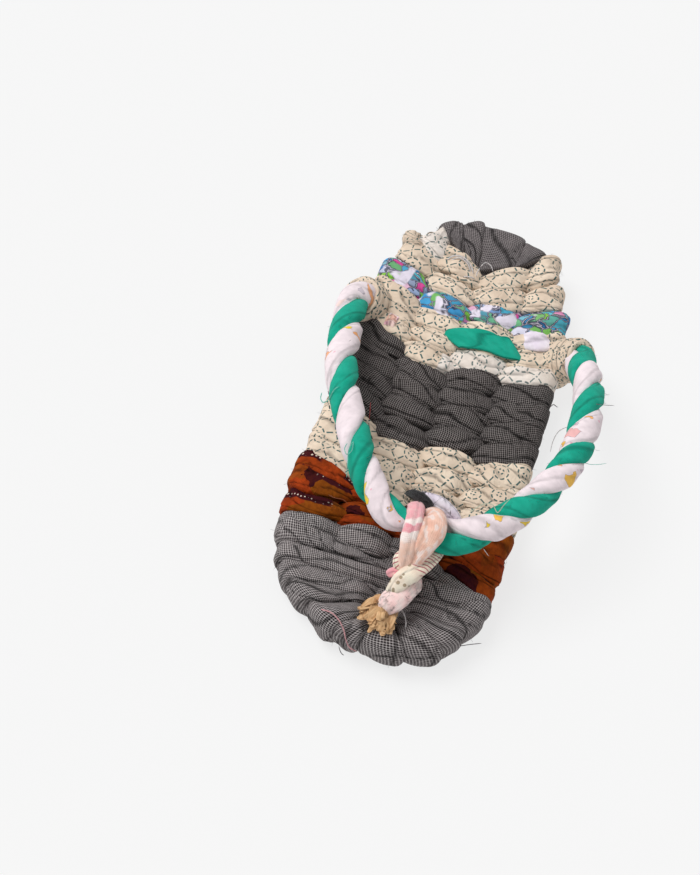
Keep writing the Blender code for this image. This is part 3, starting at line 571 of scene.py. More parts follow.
def loose_hairs(piece, number, seed, length, radius, lean):
    """Short fine fibres that stand off from a piece, each bent a little."""
    places, outward = (np.zeros((len(piece.data.vertices), 3), np.float32) for _ in range(2))
    piece.data.vertices.foreach_get("co", places.ravel())
    piece.data.vertex_normals.foreach_get("vector", outward.ravel())
    rng = np.random.default_rng(seed)
    hairs = []
    for place in rng.choice(np.flatnonzero(places[:, 2] > LOWEST_HAIR * MM), number):
        start, heading = places[place] / MM, unit(outward[place] + rng.normal(0.0, lean, 3))
        curl = rng.normal(0.0, 0.45, 3)
        reach = length * rng.uniform(0.35, 1.0)
        line = np.array([start + heading * reach * t + curl * reach * t * t for t in (-0.15, 0.2, 0.6, 1.0)])
        hairs.append(tube(line, (0.3, 0.2, 1.0), radius, radius, girth=3, depth=0.0, crumple=0.0, fullness=2.0,
                          seed=rng.uniform(0.0, 9.0)))
    return hairs


# ---- cloths and yarns ----


def dye(red, green, blue):
    """A colour given as a screen shows it, from 0 to 255, in the shaders' own scale."""
    shares = (((part / 255.0 + 0.055) / 1.055) ** 2.4 if part > 10 else part / 3294.6 for part in (red, green, blue))
    return (*shares, 1.0)


class Wiring:
    """Adds nodes to a material or a node group, and links them as they are added."""

    def __init__(self, tree):
        self.tree = tree

    def feed(self, socket, value):
        if isinstance(value, bpy.types.NodeSocket):
            self.tree.links.new(value, socket)
        else:
            socket.default_value = value

    def add(self, kind, inputs=(), **settings):
        node = self.tree.nodes.new(kind)
        for name, value in settings.items():
            setattr(node, name, value)
        for name, value in dict(inputs).items():
            self.feed(node.inputs[name], value)
        return node

    def math(self, operation, *values):
        return self.add("ShaderNodeMath", enumerate(values), operation=operation).outputs[0]

    def times(self, first, second):
        return self.math("MULTIPLY", first, second)

    def minus(self, first, second):
        return self.math("SUBTRACT", first, second)

    def magnitude(self, value):
        return self.math("ABSOLUTE", value)

    def move(self, vector, operation, other):
        return self.add("ShaderNodeVectorMath", {0: vector, 1: other}, operation=operation).outputs[0]

    def axes(self, vector):
        return self.add("ShaderNodeSeparateXYZ", {0: vector}).outputs

    def between(self, value, low, high, start=0.0, end=1.0):
        """The value's smooth rise from start to end between low and high."""
        sockets = {"Value": value, "From Min": low, "From Max": high, "To Min": start, "To Max": end}
        return self.add("ShaderNodeMapRange", sockets, interpolation_type="SMOOTHSTEP").outputs[0]

    def below(self, value, low, high):
        """1 where the value is under low and 0 where it is over high."""
        return self.between(value, low, high, 1.0, 0.0)

    def mix(self, share, first, second):
        return self.add("ShaderNodeMix", {0: share, 6: first, 7: second}, data_type="RGBA").outputs[2]

    def noise(self, vector, size, detail=2.0, roughness=0.5, distortion=0.0):
        """Noise whose lumps are about size across, in the vector's unit."""
        sockets = {"Scale": 1.0 / size, "Detail": detail, "Roughness": roughness, "Distortion": distortion}
        return self.add("ShaderNodeTexNoise", {"Vector": vector, **sockets}).outputs["Fac"]

    def mottled(self, cloth, size, first, second, detail=2.0, low=0.3):
        """Two colours in soft patches about size across."""
        return self.mix(self.between(self.noise(cloth, size, detail), low, 1.0 - low), first, second)

    def cells(self, vector, scale, output, feature="F1", randomness=1.0):
        sockets = {"Vector": vector, "Scale": scale, "Randomness": randomness}
        return self.add("ShaderNodeTexVoronoi", sockets, feature=feature).outputs[output]

    def ramp(self, value, *stops):
        """The colour at a value from 0 to 1, between stops given as a place and a colour."""
        node = self.add("ShaderNodeValToRGB", {0: value})
        elements = node.color_ramp.elements
        added = [elements.new(0.5) for _ in stops[2:]]
        for element, (_, colour) in zip([elements[0], *added, elements[-1]], stops):
            element.color = colour
        for element, (place, _) in zip(elements, stops):
            element.position = place
        return node.outputs["Color"]


def group(name, inputs, outputs, wire):
    """A node group with named value and vector inputs, built once by wire(wiring, input sockets) -> output sockets."""
    tree = bpy.data.node_groups.get(name)
    if tree:
        return tree
    tree = bpy.data.node_groups.new(name, "ShaderNodeTree")
    for label, default in inputs.items():
        kind = "NodeSocketVector" if default is None else "NodeSocketFloat"
        socket = tree.interface.new_socket(label, in_out="INPUT", socket_type=kind)
        if default is not None:
            socket.default_value = default
    for label in outputs:
        tree.interface.new_socket(label, in_out="OUTPUT", socket_type="NodeSocketFloat")
    wiring = Wiring(tree)
    given = wiring.add("NodeGroupInput").outputs
    taken = wiring.add("NodeGroupOutput").inputs
    for label, value in zip(outputs, wire(wiring, given)):
        wiring.feed(taken[label], value)
    return tree


def place_group(wiring, tree, **inputs):
    """Places a node group, its sockets fed by their names, and returns its outputs."""
    node = wiring.add("ShaderNodeGroup")
    node.node_tree = tree
    for name, value in inputs.items():
        wiring.feed(node.inputs[name], value)
    return node.outputs


def yarn_weave():
    """The relief of a plain weave of round, uneven yarns and of the cloth's creases."""
    def wire(w, given):
        cloth = given["Cloth"]
        wander = w.times(w.minus(w.noise(cloth, 5.0), 0.5), 1.2)
        warp, weft = (
            w.math("SINE", w.math("DIVIDE", w.times(w.math("ADD", axis, wander), math.pi), given["Pitch"]))
            for axis in w.axes(cloth)[:2])
        over = w.math("MULTIPLY_ADD", w.times(warp, weft), 0.5, 0.5)
        yarns = w.math("ADD", w.times(w.magnitude(warp), over), w.times(w.magnitude(weft), w.minus(1.0, over)))
        folded = w.noise(cloth, 5.5, 3.0, 0.55, 0.6)
        crease = w.between(w.minus(1.0, w.magnitude(w.math("MULTIPLY_ADD", folded, 4.0, -2.0))), 0.0, 1.0)
        fibre = w.noise(cloth, 0.35, 2.0, 0.7)
        relief = w.math("MULTIPLY_ADD", yarns, given["Yarn"], w.times(fibre, 0.25))
        return (w.math("MULTIPLY_ADD", crease, given["Crease"], relief),)
    return group("Woven Yarns", {"Cloth": None, "Pitch": 0.6, "Yarn": 0.35, "Crease": 0.8}, ("Relief",), wire)


def small_check():
    """A check of light yarns on dark: 0 on the ground, about half on one light yarn, 1 where two cross."""
    def wire(w, given):
        cloth = given["Cloth"]
        stripes = []
        for axis, stretch, strength, slope, size, reach in (
                (0, (1.0, 0.16, 1.0), 0.75, (0.0, 1.0, 0.0), 34.0, 17.0),
                (1, (0.16, 1.0, 1.0), 1.0, (1.0, 0.03, 0.0), 15.0, 7.0)):
            slant = w.times(w.minus(w.noise(w.move(cloth, "MULTIPLY", slope), size, 0.0), 0.5), reach)
            slant = w.math("MULTIPLY_ADD", w.minus(w.noise(cloth, 3.0, 1.0), 0.5), 0.35, slant)
            turn = w.times(w.math("ADD", w.axes(cloth)[axis], slant), math.tau)
            wave = w.math("SINE", w.math("DIVIDE", turn, given["Pitch"]))
            slub = w.noise(w.move(cloth, "MULTIPLY", stretch), 0.8, 2.0)
            stripes.append(w.times(w.between(wave, 0.1, 0.7), w.between(slub, 0.25, 0.6, 0.6 * strength, strength)))
        return (w.times(w.math("ADD", *stripes), 0.5),)
    return group("Small Check", {"Cloth": None, "Pitch": 1.25}, ("Light",), wire)


def running_stitch():
    """Rosettes of short dashes on a lattice, with dashed lines between them."""
    def wire(w, given):
        cloth, lattice = given["Cloth"], given["Lattice"]
        wander = w.add("ShaderNodeTexNoise", {"Vector": cloth, "Scale": 0.09, "Detail": 1.0}).outputs["Color"]
        drawn = w.axes(w.move(cloth, "ADD", w.move(wander, "MULTIPLY", (2.0, 4.0, 0.0))))
        local = [w.times(w.minus(w.math("FRACT", w.math("DIVIDE", drawn[axis], lattice)), 0.5), lattice)
                 for axis in (0, 1)]
        spot = w.add("ShaderNodeCombineXYZ", {0: local[0], 1: local[1]}).outputs[0]
        radius = w.add("ShaderNodeVectorMath", {0: spot}, operation="LENGTH").outputs["Value"]
        angle = w.math("ARCTAN2", local[1], local[0])
        masks = []
        for ring, dashes, share in ((3.5, 8.0, 0.64), (1.1, 4.0, 0.5)):
            dash = w.math("FRACT", w.times(angle, dashes / math.tau))
            near = w.below(w.magnitude(w.minus(radius, ring)), 0.26, 0.42)
            masks.append(w.times(near, w.below(dash, share, share + 0.05)))
        aslant = w.magnitude(w.minus(w.magnitude(local[0]), w.magnitude(local[1])))
        dash = w.math("FRACT", w.math("DIVIDE", w.minus(radius, 4.5), 3.6))
        dashed = w.times(w.below(dash, 0.72, 0.78), w.between(radius, 4.4, 4.5))
        masks.append(w.times(w.below(aslant, 0.34, 0.58), dashed))
        stitched = w.math("MAXIMUM", w.math("MAXIMUM", masks[0], masks[1]), masks[2])
        return (w.times(stitched, w.between(w.noise(cloth, 9.0), 0.28, 0.4)),)
    return group("Running Stitch", {"Cloth": None, "Lattice": 12.0}, ("Dashes",), wire)


def printed_patches():
    """Round-edged patches of a print, each with its own number, and the thin lines drawn round them."""
    def wire(w, given):
        cloth, size = given["Cloth"], given["Size"]
        bend = w.add("ShaderNodeTexNoise", {"Vector": cloth, "Scale": 0.16, "Detail": 2.0}).outputs["Color"]
        bend = w.move(w.move(bend, "SUBTRACT", (0.5, 0.5, 0.5)), "MULTIPLY", (9.0, 9.0, 0.0))
        drawn, scale = w.move(cloth, "ADD", bend), w.math("DIVIDE", 1.0, size)
        number = w.add("ShaderNodeSeparateColor", {0: w.cells(drawn, scale, "Color")}).outputs[0]
        edge = w.cells(drawn, scale, "Distance", feature="DISTANCE_TO_EDGE")
        inside = w.minus(w.times(edge, size), given["Gap"])
        line = w.below(w.magnitude(inside), w.times(given["Line"], 0.5), given["Line"])
        return w.between(inside, -0.05, 0.1), line, number
    sockets = {"Cloth": None, "Size": 9.0, "Gap": 0.9, "Line": 0.35}
    return group("Printed Patches", sockets, ("Patch", "Outline", "Number"), wire)


def picked(colour, colours):
    """One of the sandal's own colours by its name, or a dye."""
    return tuple(getattr(colours, colour)) if isinstance(colour, str) else dye(*colour)


def plain(size, detail, first, second, roughness):
    """A cloth whose colour goes over into another one in soft patches."""
    def pattern(w, cloth, colours):
        return w.mottled(cloth, size, picked(first, colours), picked(second, colours), detail), roughness
    return pattern


def yarn(*colour):
    """A yarn of one colour, a fifth darker in patches."""
    return plain(2.0, 2.0, colour, [part * 0.8 for part in colour], 0.9)


def check(pitch, size, dark, paler, light):
    """Light yarns that cross on a ground which goes from dark to a little paler in patches."""
    def pattern(w, cloth, colours):
        yarns = place_group(w, small_check(), Cloth=cloth, Pitch=pitch)["Light"]
        return w.mix(yarns, w.mottled(cloth, size, dye(*dark), dye(*paler), 1.0, 0.35), dye(*light)), 0.9
    return pattern


def stitched(first, second, strength):
    """Dashes and rosettes printed on pale cotton."""
    def pattern(w, cloth, colours):
        dashes = place_group(w, running_stitch(), Cloth=cloth)["Dashes"]
        ground = w.mottled(cloth, 14.0, picked(first, colours), picked(second, colours))
        return w.mix(w.times(dashes, strength), ground, tuple(colours.ink)), 0.9
    return pattern


def wax_print(w, cloth, colours):
    """Brown and orange patches, and a dark border with white dots."""
    patches = place_group(w, printed_patches(), Cloth=cloth, Size=17.0, Gap=0.3, Line=0.3)
    hue = w.ramp(patches["Number"], (0.0, dye(58, 16, 24)), (0.14, dye(60, 18, 24)), (0.2, dye(136, 76, 16)),
                 (0.45, dye(166, 62, 22)), (0.62, dye(128, 70, 14)), (0.8, dye(160, 54, 22)), (0.9, dye(136, 74, 16)),
                 (0.94, dye(58, 16, 24)), (1.0, dye(58, 16, 24)))
    off_edge = w.math("MULTIPLY_ADD", w.noise(cloth, 12.0), 3.0, w.math("ADD", w.axes(cloth)[0], 2.5))
    off_edge = w.magnitude(off_edge)
    border = w.times(w.below(off_edge, 4.9, 5.2), w.between(w.noise(cloth, 30.0, 0.0), 0.42, 0.46))
    row = w.below(w.magnitude(w.minus(off_edge, 3.6)), 0.8, 1.0)
    dots = w.below(w.cells(cloth, 1.0 / 1.9, "Distance", randomness=0.35), 0.2, 0.28)
    spotted = w.times(dots, w.times(border, row))
    mottled = w.mix(w.between(w.noise(cloth, 3.0, 3.0), 0.35, 0.65, 0.0, 0.4), hue, dye(84, 30, 10))
    edged = w.mix(border, mottled, w.mix(w.noise(cloth, 5.0), dye(50, 12, 20), dye(72, 24, 28)))
    return w.mix(w.times(spotted, 0.85), edged, dye(228, 212, 196)), 0.85


def bright_jersey(w, cloth, colours):
    """Small outlined patches in blue, green and pink on white."""
    stretched = w.move(cloth, "MULTIPLY", (1.3, 0.8, 1.0))
    patches = place_group(w, printed_patches(), Cloth=stretched, Size=4.2, Gap=0.2, Line=0.22)
    area = w.between(w.noise(cloth, 9.0, 1.0), 0.38, 0.44)
    hue = w.ramp(patches["Number"], (0.0, dye(44, 122, 186)), (0.12, dye(74, 160, 212)), (0.26, dye(126, 190, 62)),
                 (0.34, dye(142, 200, 84)), (0.42, dye(60, 136, 196)), (0.54, dye(236, 228, 240)),
                 (0.62, dye(226, 84, 160)), (0.7, dye(214, 92, 164)), (0.78, dye(92, 196, 208)),
                 (0.9, dye(48, 116, 184)), (1.0, dye(126, 190, 62)))
    white = dye(232, 224, 238)
    printed = w.mix(w.times(patches["Outline"], 0.85), w.mix(patches["Patch"], white, hue), dye(30, 34, 62))
    return w.mix(area, white, printed), 0.8


def bright_white(w, cloth, colours):
    """A few outlined patches and specks on white."""
    patches = place_group(w, printed_patches(), Cloth=cloth, Size=9.0, Gap=1.9, Line=0.16)
    white, orange = tuple(colours.strap_white), dye(248, 176, 110)
    hue = w.ramp(patches["Number"], (0.0, white), (0.64, orange), (0.76, dye(246, 222, 60)), (0.84, orange),
                 (0.92, dye(240, 190, 206)), (1.0, dye(206, 200, 208)))
    speck = w.between(w.cells(cloth, 1.0 / 7.0, "Distance"), 0.07, 0.11, 0.6, 0.0)
    coloured = w.times(patches["Patch"], w.between(patches["Number"], 0.6, 0.62))
    ground = w.mix(coloured, w.mix(speck, white, dye(240, 150, 178)), hue)
    drawn = w.times(patches["Outline"], w.between(patches["Number"], 0.6, 0.62, 0.0, 0.5))
    return w.mix(drawn, ground, dye(112, 102, 116)), 0.8


def blob_print(w, cloth, colours):
    """Outlined patches in pink, white and orange."""
    patches = place_group(w, printed_patches(), Cloth=cloth, Size=6.0, Gap=0.5, Line=0.3)
    hue = w.ramp(patches["Number"], (0.0, dye(236, 176, 190)), (0.35, dye(244, 232, 236)), (0.6, dye(232, 160, 120)),
                 (0.8, dye(244, 236, 240)), (1.0, dye(210, 120, 140)))
    return w.mix(w.times(patches["Outline"], 0.5), hue, dye(120, 70, 80)), 0.75


def rose_flannel(w, cloth, colours):
    """Pink with faint pale spots."""
    spots = w.between(w.noise(cloth, 3.2, 1.0), 0.6, 0.7, 0.0, 0.55)
    return w.mix(spots, w.mottled(cloth, 6.0, tuple(colours.rose), dye(222, 136, 146), 3.0), dye(238, 204, 192)), 1.0


def banded_flannel(w, cloth, colours):
    """Pink, then narrow white bands, then peach, along the rag."""
    axes = w.axes(cloth)
    along = w.math("DIVIDE", w.minus(w.math("MULTIPLY_ADD", axes[0], 0.35, axes[1]), 104.0), 100.0)
    wavy = w.math("ADD", along, w.times(w.minus(w.noise(cloth, 4.0), 0.5), 0.04))
    white, peach, rose = dye(252, 238, 232), tuple(colours.peach), tuple(colours.rose)
    bands = w.ramp(wavy, (0.0, rose), (0.682, rose), (0.694, white), (0.71, white), (0.718, dye(234, 150, 162)),
                   (0.744, dye(236, 160, 168)), (0.752, white), (0.776, white), (0.8, peach), (1.0, peach))
    mottle = w.between(w.noise(cloth, 2.4, 3.0), 0.4, 0.7, 0.0, 0.4)
    return w.mix(mottle, bands, dye(240, 216, 208)), 1.0


def peach_flannel(w, cloth, colours):
    """Peach with pale spots."""
    spots = w.noise(w.move(cloth, "MULTIPLY", (1.4, 0.6, 1.0)), 3.0, 1.5)
    spots = w.between(spots, 0.5, 0.62, 0.0, 0.75)
    return w.mix(spots, w.mottled(cloth, 5.0, tuple(colours.peach), dye(232, 180, 158), 3.0), dye(244, 226, 220)), 1.0


def striped_cream(w, cloth, colours):
    """Cream with slanted red stripes on one length and dots on the other."""
    axes = w.axes(cloth)
    bent = w.math("MULTIPLY_ADD", w.noise(cloth, 6.0, 1.0), 3.0, w.math("MULTIPLY_ADD", axes[0], 0.7, axes[1]))
    stripe = w.between(w.math("FRACT", w.math("DIVIDE", bent, 2.1)), 0.66, 0.74)
    area = w.below(axes[1], 117.0, 119.0)
    dots = w.times(w.below(w.cells(cloth, 1.0 / 2.9, "Distance"), 0.24, 0.34), w.minus(1.0, area))
    tone = w.mottled(cloth, 5.0, dye(246, 236, 216), dye(236, 216, 196))
    striped = w.mix(w.times(w.times(stripe, area), 0.85), tone, dye(170, 40, 70))
    return w.mix(w.times(dots, 0.7), striped, dye(120, 92, 34)), 0.95


def straw(w, cloth, colours):
    """Straw with darker streaks along the stalk."""
    streaks = w.move(cloth, "MULTIPLY", (3.0, 0.25, 1.0))
    return w.mottled(streaks, 2.0, tuple(colours.straw), dye(198, 158, 114), 3.0), 0.8


YARNS = {
    "green_yarn": (128, 214, 196), "pale_green_yarn": (206, 214, 190), "white_yarn": (238, 232, 232),
    "grey_yarn": (120, 114, 118), "red_yarn": (172, 52, 50), "rust_yarn": (150, 78, 40), "rose_yarn": (226, 168, 172)}
CLOTHS = {  # cloth: pattern, pitch of its yarns in mm, relief of yarn and of creases, fluff, light left in a hollow under its painted shade
    "toe_check": (check(1.0, 20.0, (29, 24, 26), (60, 53, 54), (214, 206, 205)), 0.68, 0.5, 0.7, 0.03, 0.22),
    "dark_check": (check(0.98, 24.0, (11, 9, 10), (27, 22, 22), (158, 150, 148)), 0.65, 0.5, 0.7, 0.0, 0.1),
    "heel_check": (check(0.95, 20.0, (44, 40, 41), (64, 58, 59), (176, 168, 168)), 0.65, 0.5, 0.7, 0.03, 0.2),
    "stitched_cream": (stitched("cream", (218, 197, 176), 0.92), 0.6, 0.3, 0.9, 0.04, 0.4),
    "stitched_white": (stitched((244, 235, 228), (230, 217, 206), 0.8), 0.6, 0.3, 0.9, 0.04, 0.5),
    "wax_print": (wax_print, 0.5, 0.25, 0.9, 0.0, 0.25),
    "bright_jersey": (bright_jersey, 0.5, 0.25, 0.5, 0.04, 0.55),
    "lilac_cotton": (plain(7.0, 2.0, (242, 234, 242), (228, 216, 230), 0.85), 0.5, 0.2, 0.6, 0.04, 0.6),
    "bright_white": (bright_white, 0.5, 0.2, 0.3, 0.06, 0.75),
    "black_fluff": (yarn(34, 32, 34), 0.5, 0.5, 0.6, 0.3, 0.6),
    "blob_print": (blob_print, 0.5, 0.25, 0.6, 0.2, 0.6),
    "emerald": (plain(9.0, 3.0, "emerald", (34, 174, 148), 0.8), 0.55, 0.3, 0.3, 0.05, 0.6),
    "rose_flannel": (rose_flannel, 0.7, 0.4, 0.7, 0.5, 0.7),
    "banded_flannel": (banded_flannel, 0.8, 0.5, 0.6, 0.4, 0.78),
    "peach_flannel": (peach_flannel, 0.8, 0.5, 0.6, 0.4, 0.75),
    "pale_flannel": (plain(4.0, 3.0, (255, 234, 228), (252, 210, 206), 1.0), 0.7, 0.3, 0.4, 0.6, 0.85),
    "striped_cream": (striped_cream, 0.7, 0.4, 0.7, 0.3, 0.6),
    "straw": (straw, 0.5, 0.1, 0.3, 0.0, 0.5),
    **{name: (yarn(*colour), 0.3, 0.2, 0.2, 0.2, 1.0) for name, colour in YARNS.items()}}


def cloth_material(name):
    """The material of a cloth or a yarn: its print or weave, its creases, shade painted into its hollows and low relief
    with a faint painted highlight on the high relief, and random tone.
    """
    if name in bpy.data.materials:
        return bpy.data.materials[name]
    pattern, pitch, yarn_relief, crease_relief, fluff, hollow_light = CLOTHS[name]
    material = bpy.data.materials.new(name)
    material.use_nodes = True
    w = Wiring(material.node_tree)
    cloth = w.add("ShaderNodeUVMap", uv_map="cloth").outputs[0]
    hollow = w.add("ShaderNodeAttribute", attribute_name="hollow").outputs["Fac"]
    colour, roughness = pattern(w, cloth, bpy.context.scene.rag_sandal.colours)
    relief = place_group(w, yarn_weave(), Cloth=cloth, Pitch=pitch, Yarn=yarn_relief, Crease=crease_relief)["Relief"]
    # Painted shade: the colour darkens deep in the pleats' and creases' hollows and in the low relief of yarns and
    # creases, and is painted a little lighter on the high relief; the noise after it adds random tone.
    painted_shade_and_tone = w.times(w.between(hollow, 0.4, 0.95, 1.0, hollow_light), w.between(relief, 0.1, 0.8, 0.9, 1.04))
    painted_shade_and_tone = w.times(painted_shade_and_tone, w.between(w.noise(cloth, 4.0), 0.25, 0.75, 0.93, 1.05))
    shaded = w.move(colour, "MULTIPLY", w.add("ShaderNodeCombineXYZ", {0: painted_shade_and_tone, 1: painted_shade_and_tone, 2: painted_shade_and_tone}).outputs[0])
    bump = w.add("ShaderNodeBump", {"Height": relief, "Distance": 0.6 * MM, "Strength": 0.8}).outputs[0]
    surface = material.node_tree.nodes["Principled BSDF"].inputs
    for socket, value in {"Base Color": shaded, "Normal": bump, "Roughness": roughness, "Specular IOR Level": 0.06,
                          "Sheen Weight": fluff, "Sheen Roughness": 0.6}.items():
        w.feed(surface[socket], value)
    return material


# ---- sizes and colours that a user would change ----


def length_property(name, description, default):
    return FloatProperty(name=name, description=description, default=default * MM, min=0.0, subtype="DISTANCE",
                         unit="LENGTH", precision=4)


def share_property(name, description, default):
    return FloatProperty(name=name, description=description, default=default, min=0.0, subtype="FACTOR")


def angle_property(name, description, default):
    return FloatProperty(name=name, description=description, default=default, subtype="ANGLE", unit="ROTATION")


def colour_property(name, description, default):
    return FloatVectorProperty(name=name, description=description, default=default, size=4, min=0.0, max=1.0,
                               subtype="COLOR")


class SandalWeave(bpy.types.PropertyGroup):
    strip_height: length_property("Strip Height", "Half the height of a woven strip where it lies over a cord", 4.3)
    wobble: length_property("Wobble", "How far a strip wanders from its row", 1.1)
    unevenness: length_property("Unevenness", "How much the rows differ from an even spacing", 0.8)
    flatness: share_property("Flatness", "How flat a strip lies over a cord: less is flatter", 0.46)
    crossing: share_property("Crossing", "A strip's width where it dives between two cords, as a share of its row", 0.8)
    overlap: share_property("Overlap", "A strip's width where it lies over a cord, as a share of its row", 1.3)
    tilt: angle_property("Tilt", "How far a strip leans to either side", 0.2)
    pleats: share_property("Pleats", "Pleats round a woven strip", 6.0)
    pleat_depth: length_property("Pleat Depth", "Depth of the pleats of a woven strip", 1.15)
    fibres: share_property("Fibres", "Loose fibres on the worn cloths, as a share of the pattern's", 1.0)


class SandalCaps(bpy.types.PropertyGroup):
    toe_overlap: share_property("Toe Overlap", "Width of a fold of the toe, as a share of the room it has", 1.11)
    heel_overlap: share_property("Heel Overlap", "Width of a fold of the heel, as a share of the room it has", 1.25)
    shingle: angle_property("Shingle", "How far each fold leans over its neighbour", 0.28)
    fullness: share_property("Fullness", "Height of a fold as a share of its width", 0.62)
    fold_height: length_property("Fold Height", "Half the height that a wide fold has", 5.4)
    pleats: share_property("Pleats", "Pleats round a fold", 4.0)
    pleat_depth: length_property("Pleat Depth", "Depth of the pleats of a fold", 0.85)


class SandalStrap(bpy.types.PropertyGroup):
    strand_offset: length_property("Strand Offset", "Distance of each strand's middle from the strap's middle", 3.2)
    strand_width: length_property("Strand Width", "Half the width of a strand along the strap's surface", 5.5)
    strand_height: length_property("Strand Height", "Half the height of a strand", 4.1)
    pleat_depth: length_property("Pleat Depth", "Depth of the pleats of a strand", 0.42)


class SandalThong(bpy.types.PropertyGroup):
    thickness: share_property("Thickness", "Thickness of the thong's rags, as a share of the pattern's", 1.0)
    hairs: IntProperty(name="Hairs", description="Fine fibres on the fluffy end of the thong", default=440, min=0)
    stalks: IntProperty(name="Stalks", description="Straw stalks in the tuft", default=56, min=1)


class SandalColours(bpy.types.PropertyGroup):
    cream: colour_property("Cream", "Ground of the stitched cotton", dye(238, 219, 198))
    ink: colour_property("Ink", "Dashes printed on the cream cotton", dye(26, 84, 86))
    emerald: colour_property("Emerald", "Green strand of the strap", dye(16, 160, 134))
    strap_white: colour_property("Strap White", "Ground of the strap's printed strand", dye(243, 229, 233))
    rose: colour_property("Rose", "Pink flannel of the thong", dye(240, 166, 174))
    peach: colour_property("Peach", "Peach flannel of the thong", dye(246, 204, 184))
    straw: colour_property("Straw", "Stalks of the tuft", dye(230, 192, 148))


class SandalStage(bpy.types.PropertyGroup):
    floor: share_property("Floor", "How much light the floor gives back", 0.17)
    glow: share_property("Glow", "Light that comes up through the floor, as on a light table", 0.745)
    sky: share_property("Sky", "Strength of the light from all round", 0.5)
    sun: share_property("Sun", "Strength of the large soft lamp", 2.12)
    distance: FloatProperty(name="Distance", description="From the camera to the middle of the sole's underside",
                            default=1.389, subtype="DISTANCE", unit="LENGTH")
    lens: FloatProperty(name="Lens", description="Focal length of the camera", default=123.43,
                        subtype="DISTANCE_CAMERA")
    azimuth: angle_property("Azimuth", "Camera's turn round the sandal", math.radians(2.1))
    elevation: angle_property("Elevation", "Camera's height above the horizon", math.radians(57.7))
    roll: angle_property("Roll", "Camera's turn about its own view", math.radians(16.0))


class RagSandal(bpy.types.PropertyGroup):
    weave: PointerProperty(name="Weave", description="Woven bands of the sole", type=SandalWeave)
    caps: PointerProperty(name="Caps", description="Folds of the toe and the heel", type=SandalCaps)
    strap: PointerProperty(name="Strap", description="Two-stranded strap", type=SandalStrap)
    thong: PointerProperty(name="Thong", description="Toe thong and its tuft", type=SandalThong)
    colours: PointerProperty(name="Colours", description="Colours of the cloths", type=SandalColours)
    stage: PointerProperty(name="Stage", description="Floor, lights and camera", type=SandalStage)


# ---- operators ----


class SANDAL_OT_weave_sole(bpy.types.Operator):
    """Weaves the strips of all six cloths over and under the four cords"""
    bl_idname = "sandal.weave_sole"
    bl_label = "Weave Sole"

    def execute(self, context):
        weave = context.scene.rag_sandal.weave
        starts = [row[0] for row in BORDERS]
        for band, ((node, strips, cloth, rims), start, end) in enumerate(zip(WOVEN_BANDS, starts, starts[1:])):
            line, sides, ups = woven_strip(start, end, strips, rims, weave)
            strip = wrap_cloth(line, sides, ups, girth=44, pleats=weave.pleats, depth=weave.pleat_depth / MM,
                               seed=start, fullness=3.2, slant=1.5, creased=0.65)
            sew("woven_" + node, [strip], cloth, [node])
            for piece, under, second_cloth, *ends in OVERLAID:
                if under == band:
                    rows = np.clip([row_of(*end) for end in ends], 0, len(line))
                    sew(piece, [laid_over(strip, line, *rows, start)], second_cloth)
        return {"FINISHED"}


class SANDAL_OT_fold_caps(bpy.types.Operator):
    """Lays the folds that close the toe and the heel round the ends of the cords"""
    bl_idname = "sandal.fold_caps"
    bl_label = "Fold Toe and Heel"

    def execute(self, context):
        weave, caps = context.scene.rag_sandal.weave, context.scene.rag_sandal.caps
        root, back = np.array(THONG_ROOT), np.array(SLIT_BACK)
        rims = [on_the_rim(TOE_END, degrees) for degrees in TOE_CREASES]
        slit = back - root
        starts = [root + slit * np.clip(np.dot(rim - root, slit) / np.dot(slit, slit), 0.0, 1.0) for rim in rims]
        skins = folds(starts, rims, toe_dip, TOE_PROUD, caps.toe_overlap, caps, 11.0)
        skins.append(wrap_cloth(*woven_strip(*TOE_STRIP, weave), girth=44, pleats=weave.pleats,
                                depth=weave.pleat_depth / MM, seed=43.0, fullness=3.0, slant=1.2))
        skins.append(padding(TOE_PADDING))
        sew("folded_toe_cap", skins, "toe_check", ["toe_cap"])
        border = BORDERS[-1][0]
        starts = [np.stack(on_the_sole(np.array(share), np.array(border))) for share in HEEL_CREASES]
        rims = [on_the_rim(HEEL_END, degrees) for degrees in HEEL_RIM]
        skins = folds(starts, rims, heel_dip, HEEL_PROUD, caps.heel_overlap, caps, 31.0)
        skins.append(padding(HEEL_PADDING))
        sew("folded_heel_cap", skins, "heel_check", ["heel_cap"])
        return {"FINISHED"}


class SANDAL_OT_wind_loops(bpy.types.Operator):
    """Winds the cream loops at the sides that hold the ends of the strap"""
    bl_idname = "sandal.wind_loops"
    bl_label = "Wind Side Loops"

    def execute(self, context):
        for number, (node, middle, collar) in enumerate(SIDE_LOOPS):
            low = np.array((middle[0], middle[1], 1.5))
            heading = unit(np.array(collar) - np.array(middle))
            line = smooth_line((low, (*middle[:2], 8.0), middle, collar, np.array(collar) + heading * 3.0), 0.8)
            core = tube(line, (0.0, 1.0, 0.0), 6.6, spread((10.0, 6.4), line), girth=32, pleats=5.0, depth=0.9,
                        seed=number + 61.0)
            route = smooth_line(((*middle[:2], 3.0), middle, collar, np.array(collar) + heading * 5.0), 0.8)
            winding = wound(route, turns=5.4, wide=11.0, tall=10.0, towards=(0.0, 1.0, 0.0), strip=(3.8, 2.5), girth=32,
                            pleats=4.0, depth=0.9, seed=number + 71.0)
            sew("wound_" + node, [core, winding], "stitched_cream", [node])
        return {"FINISHED"}


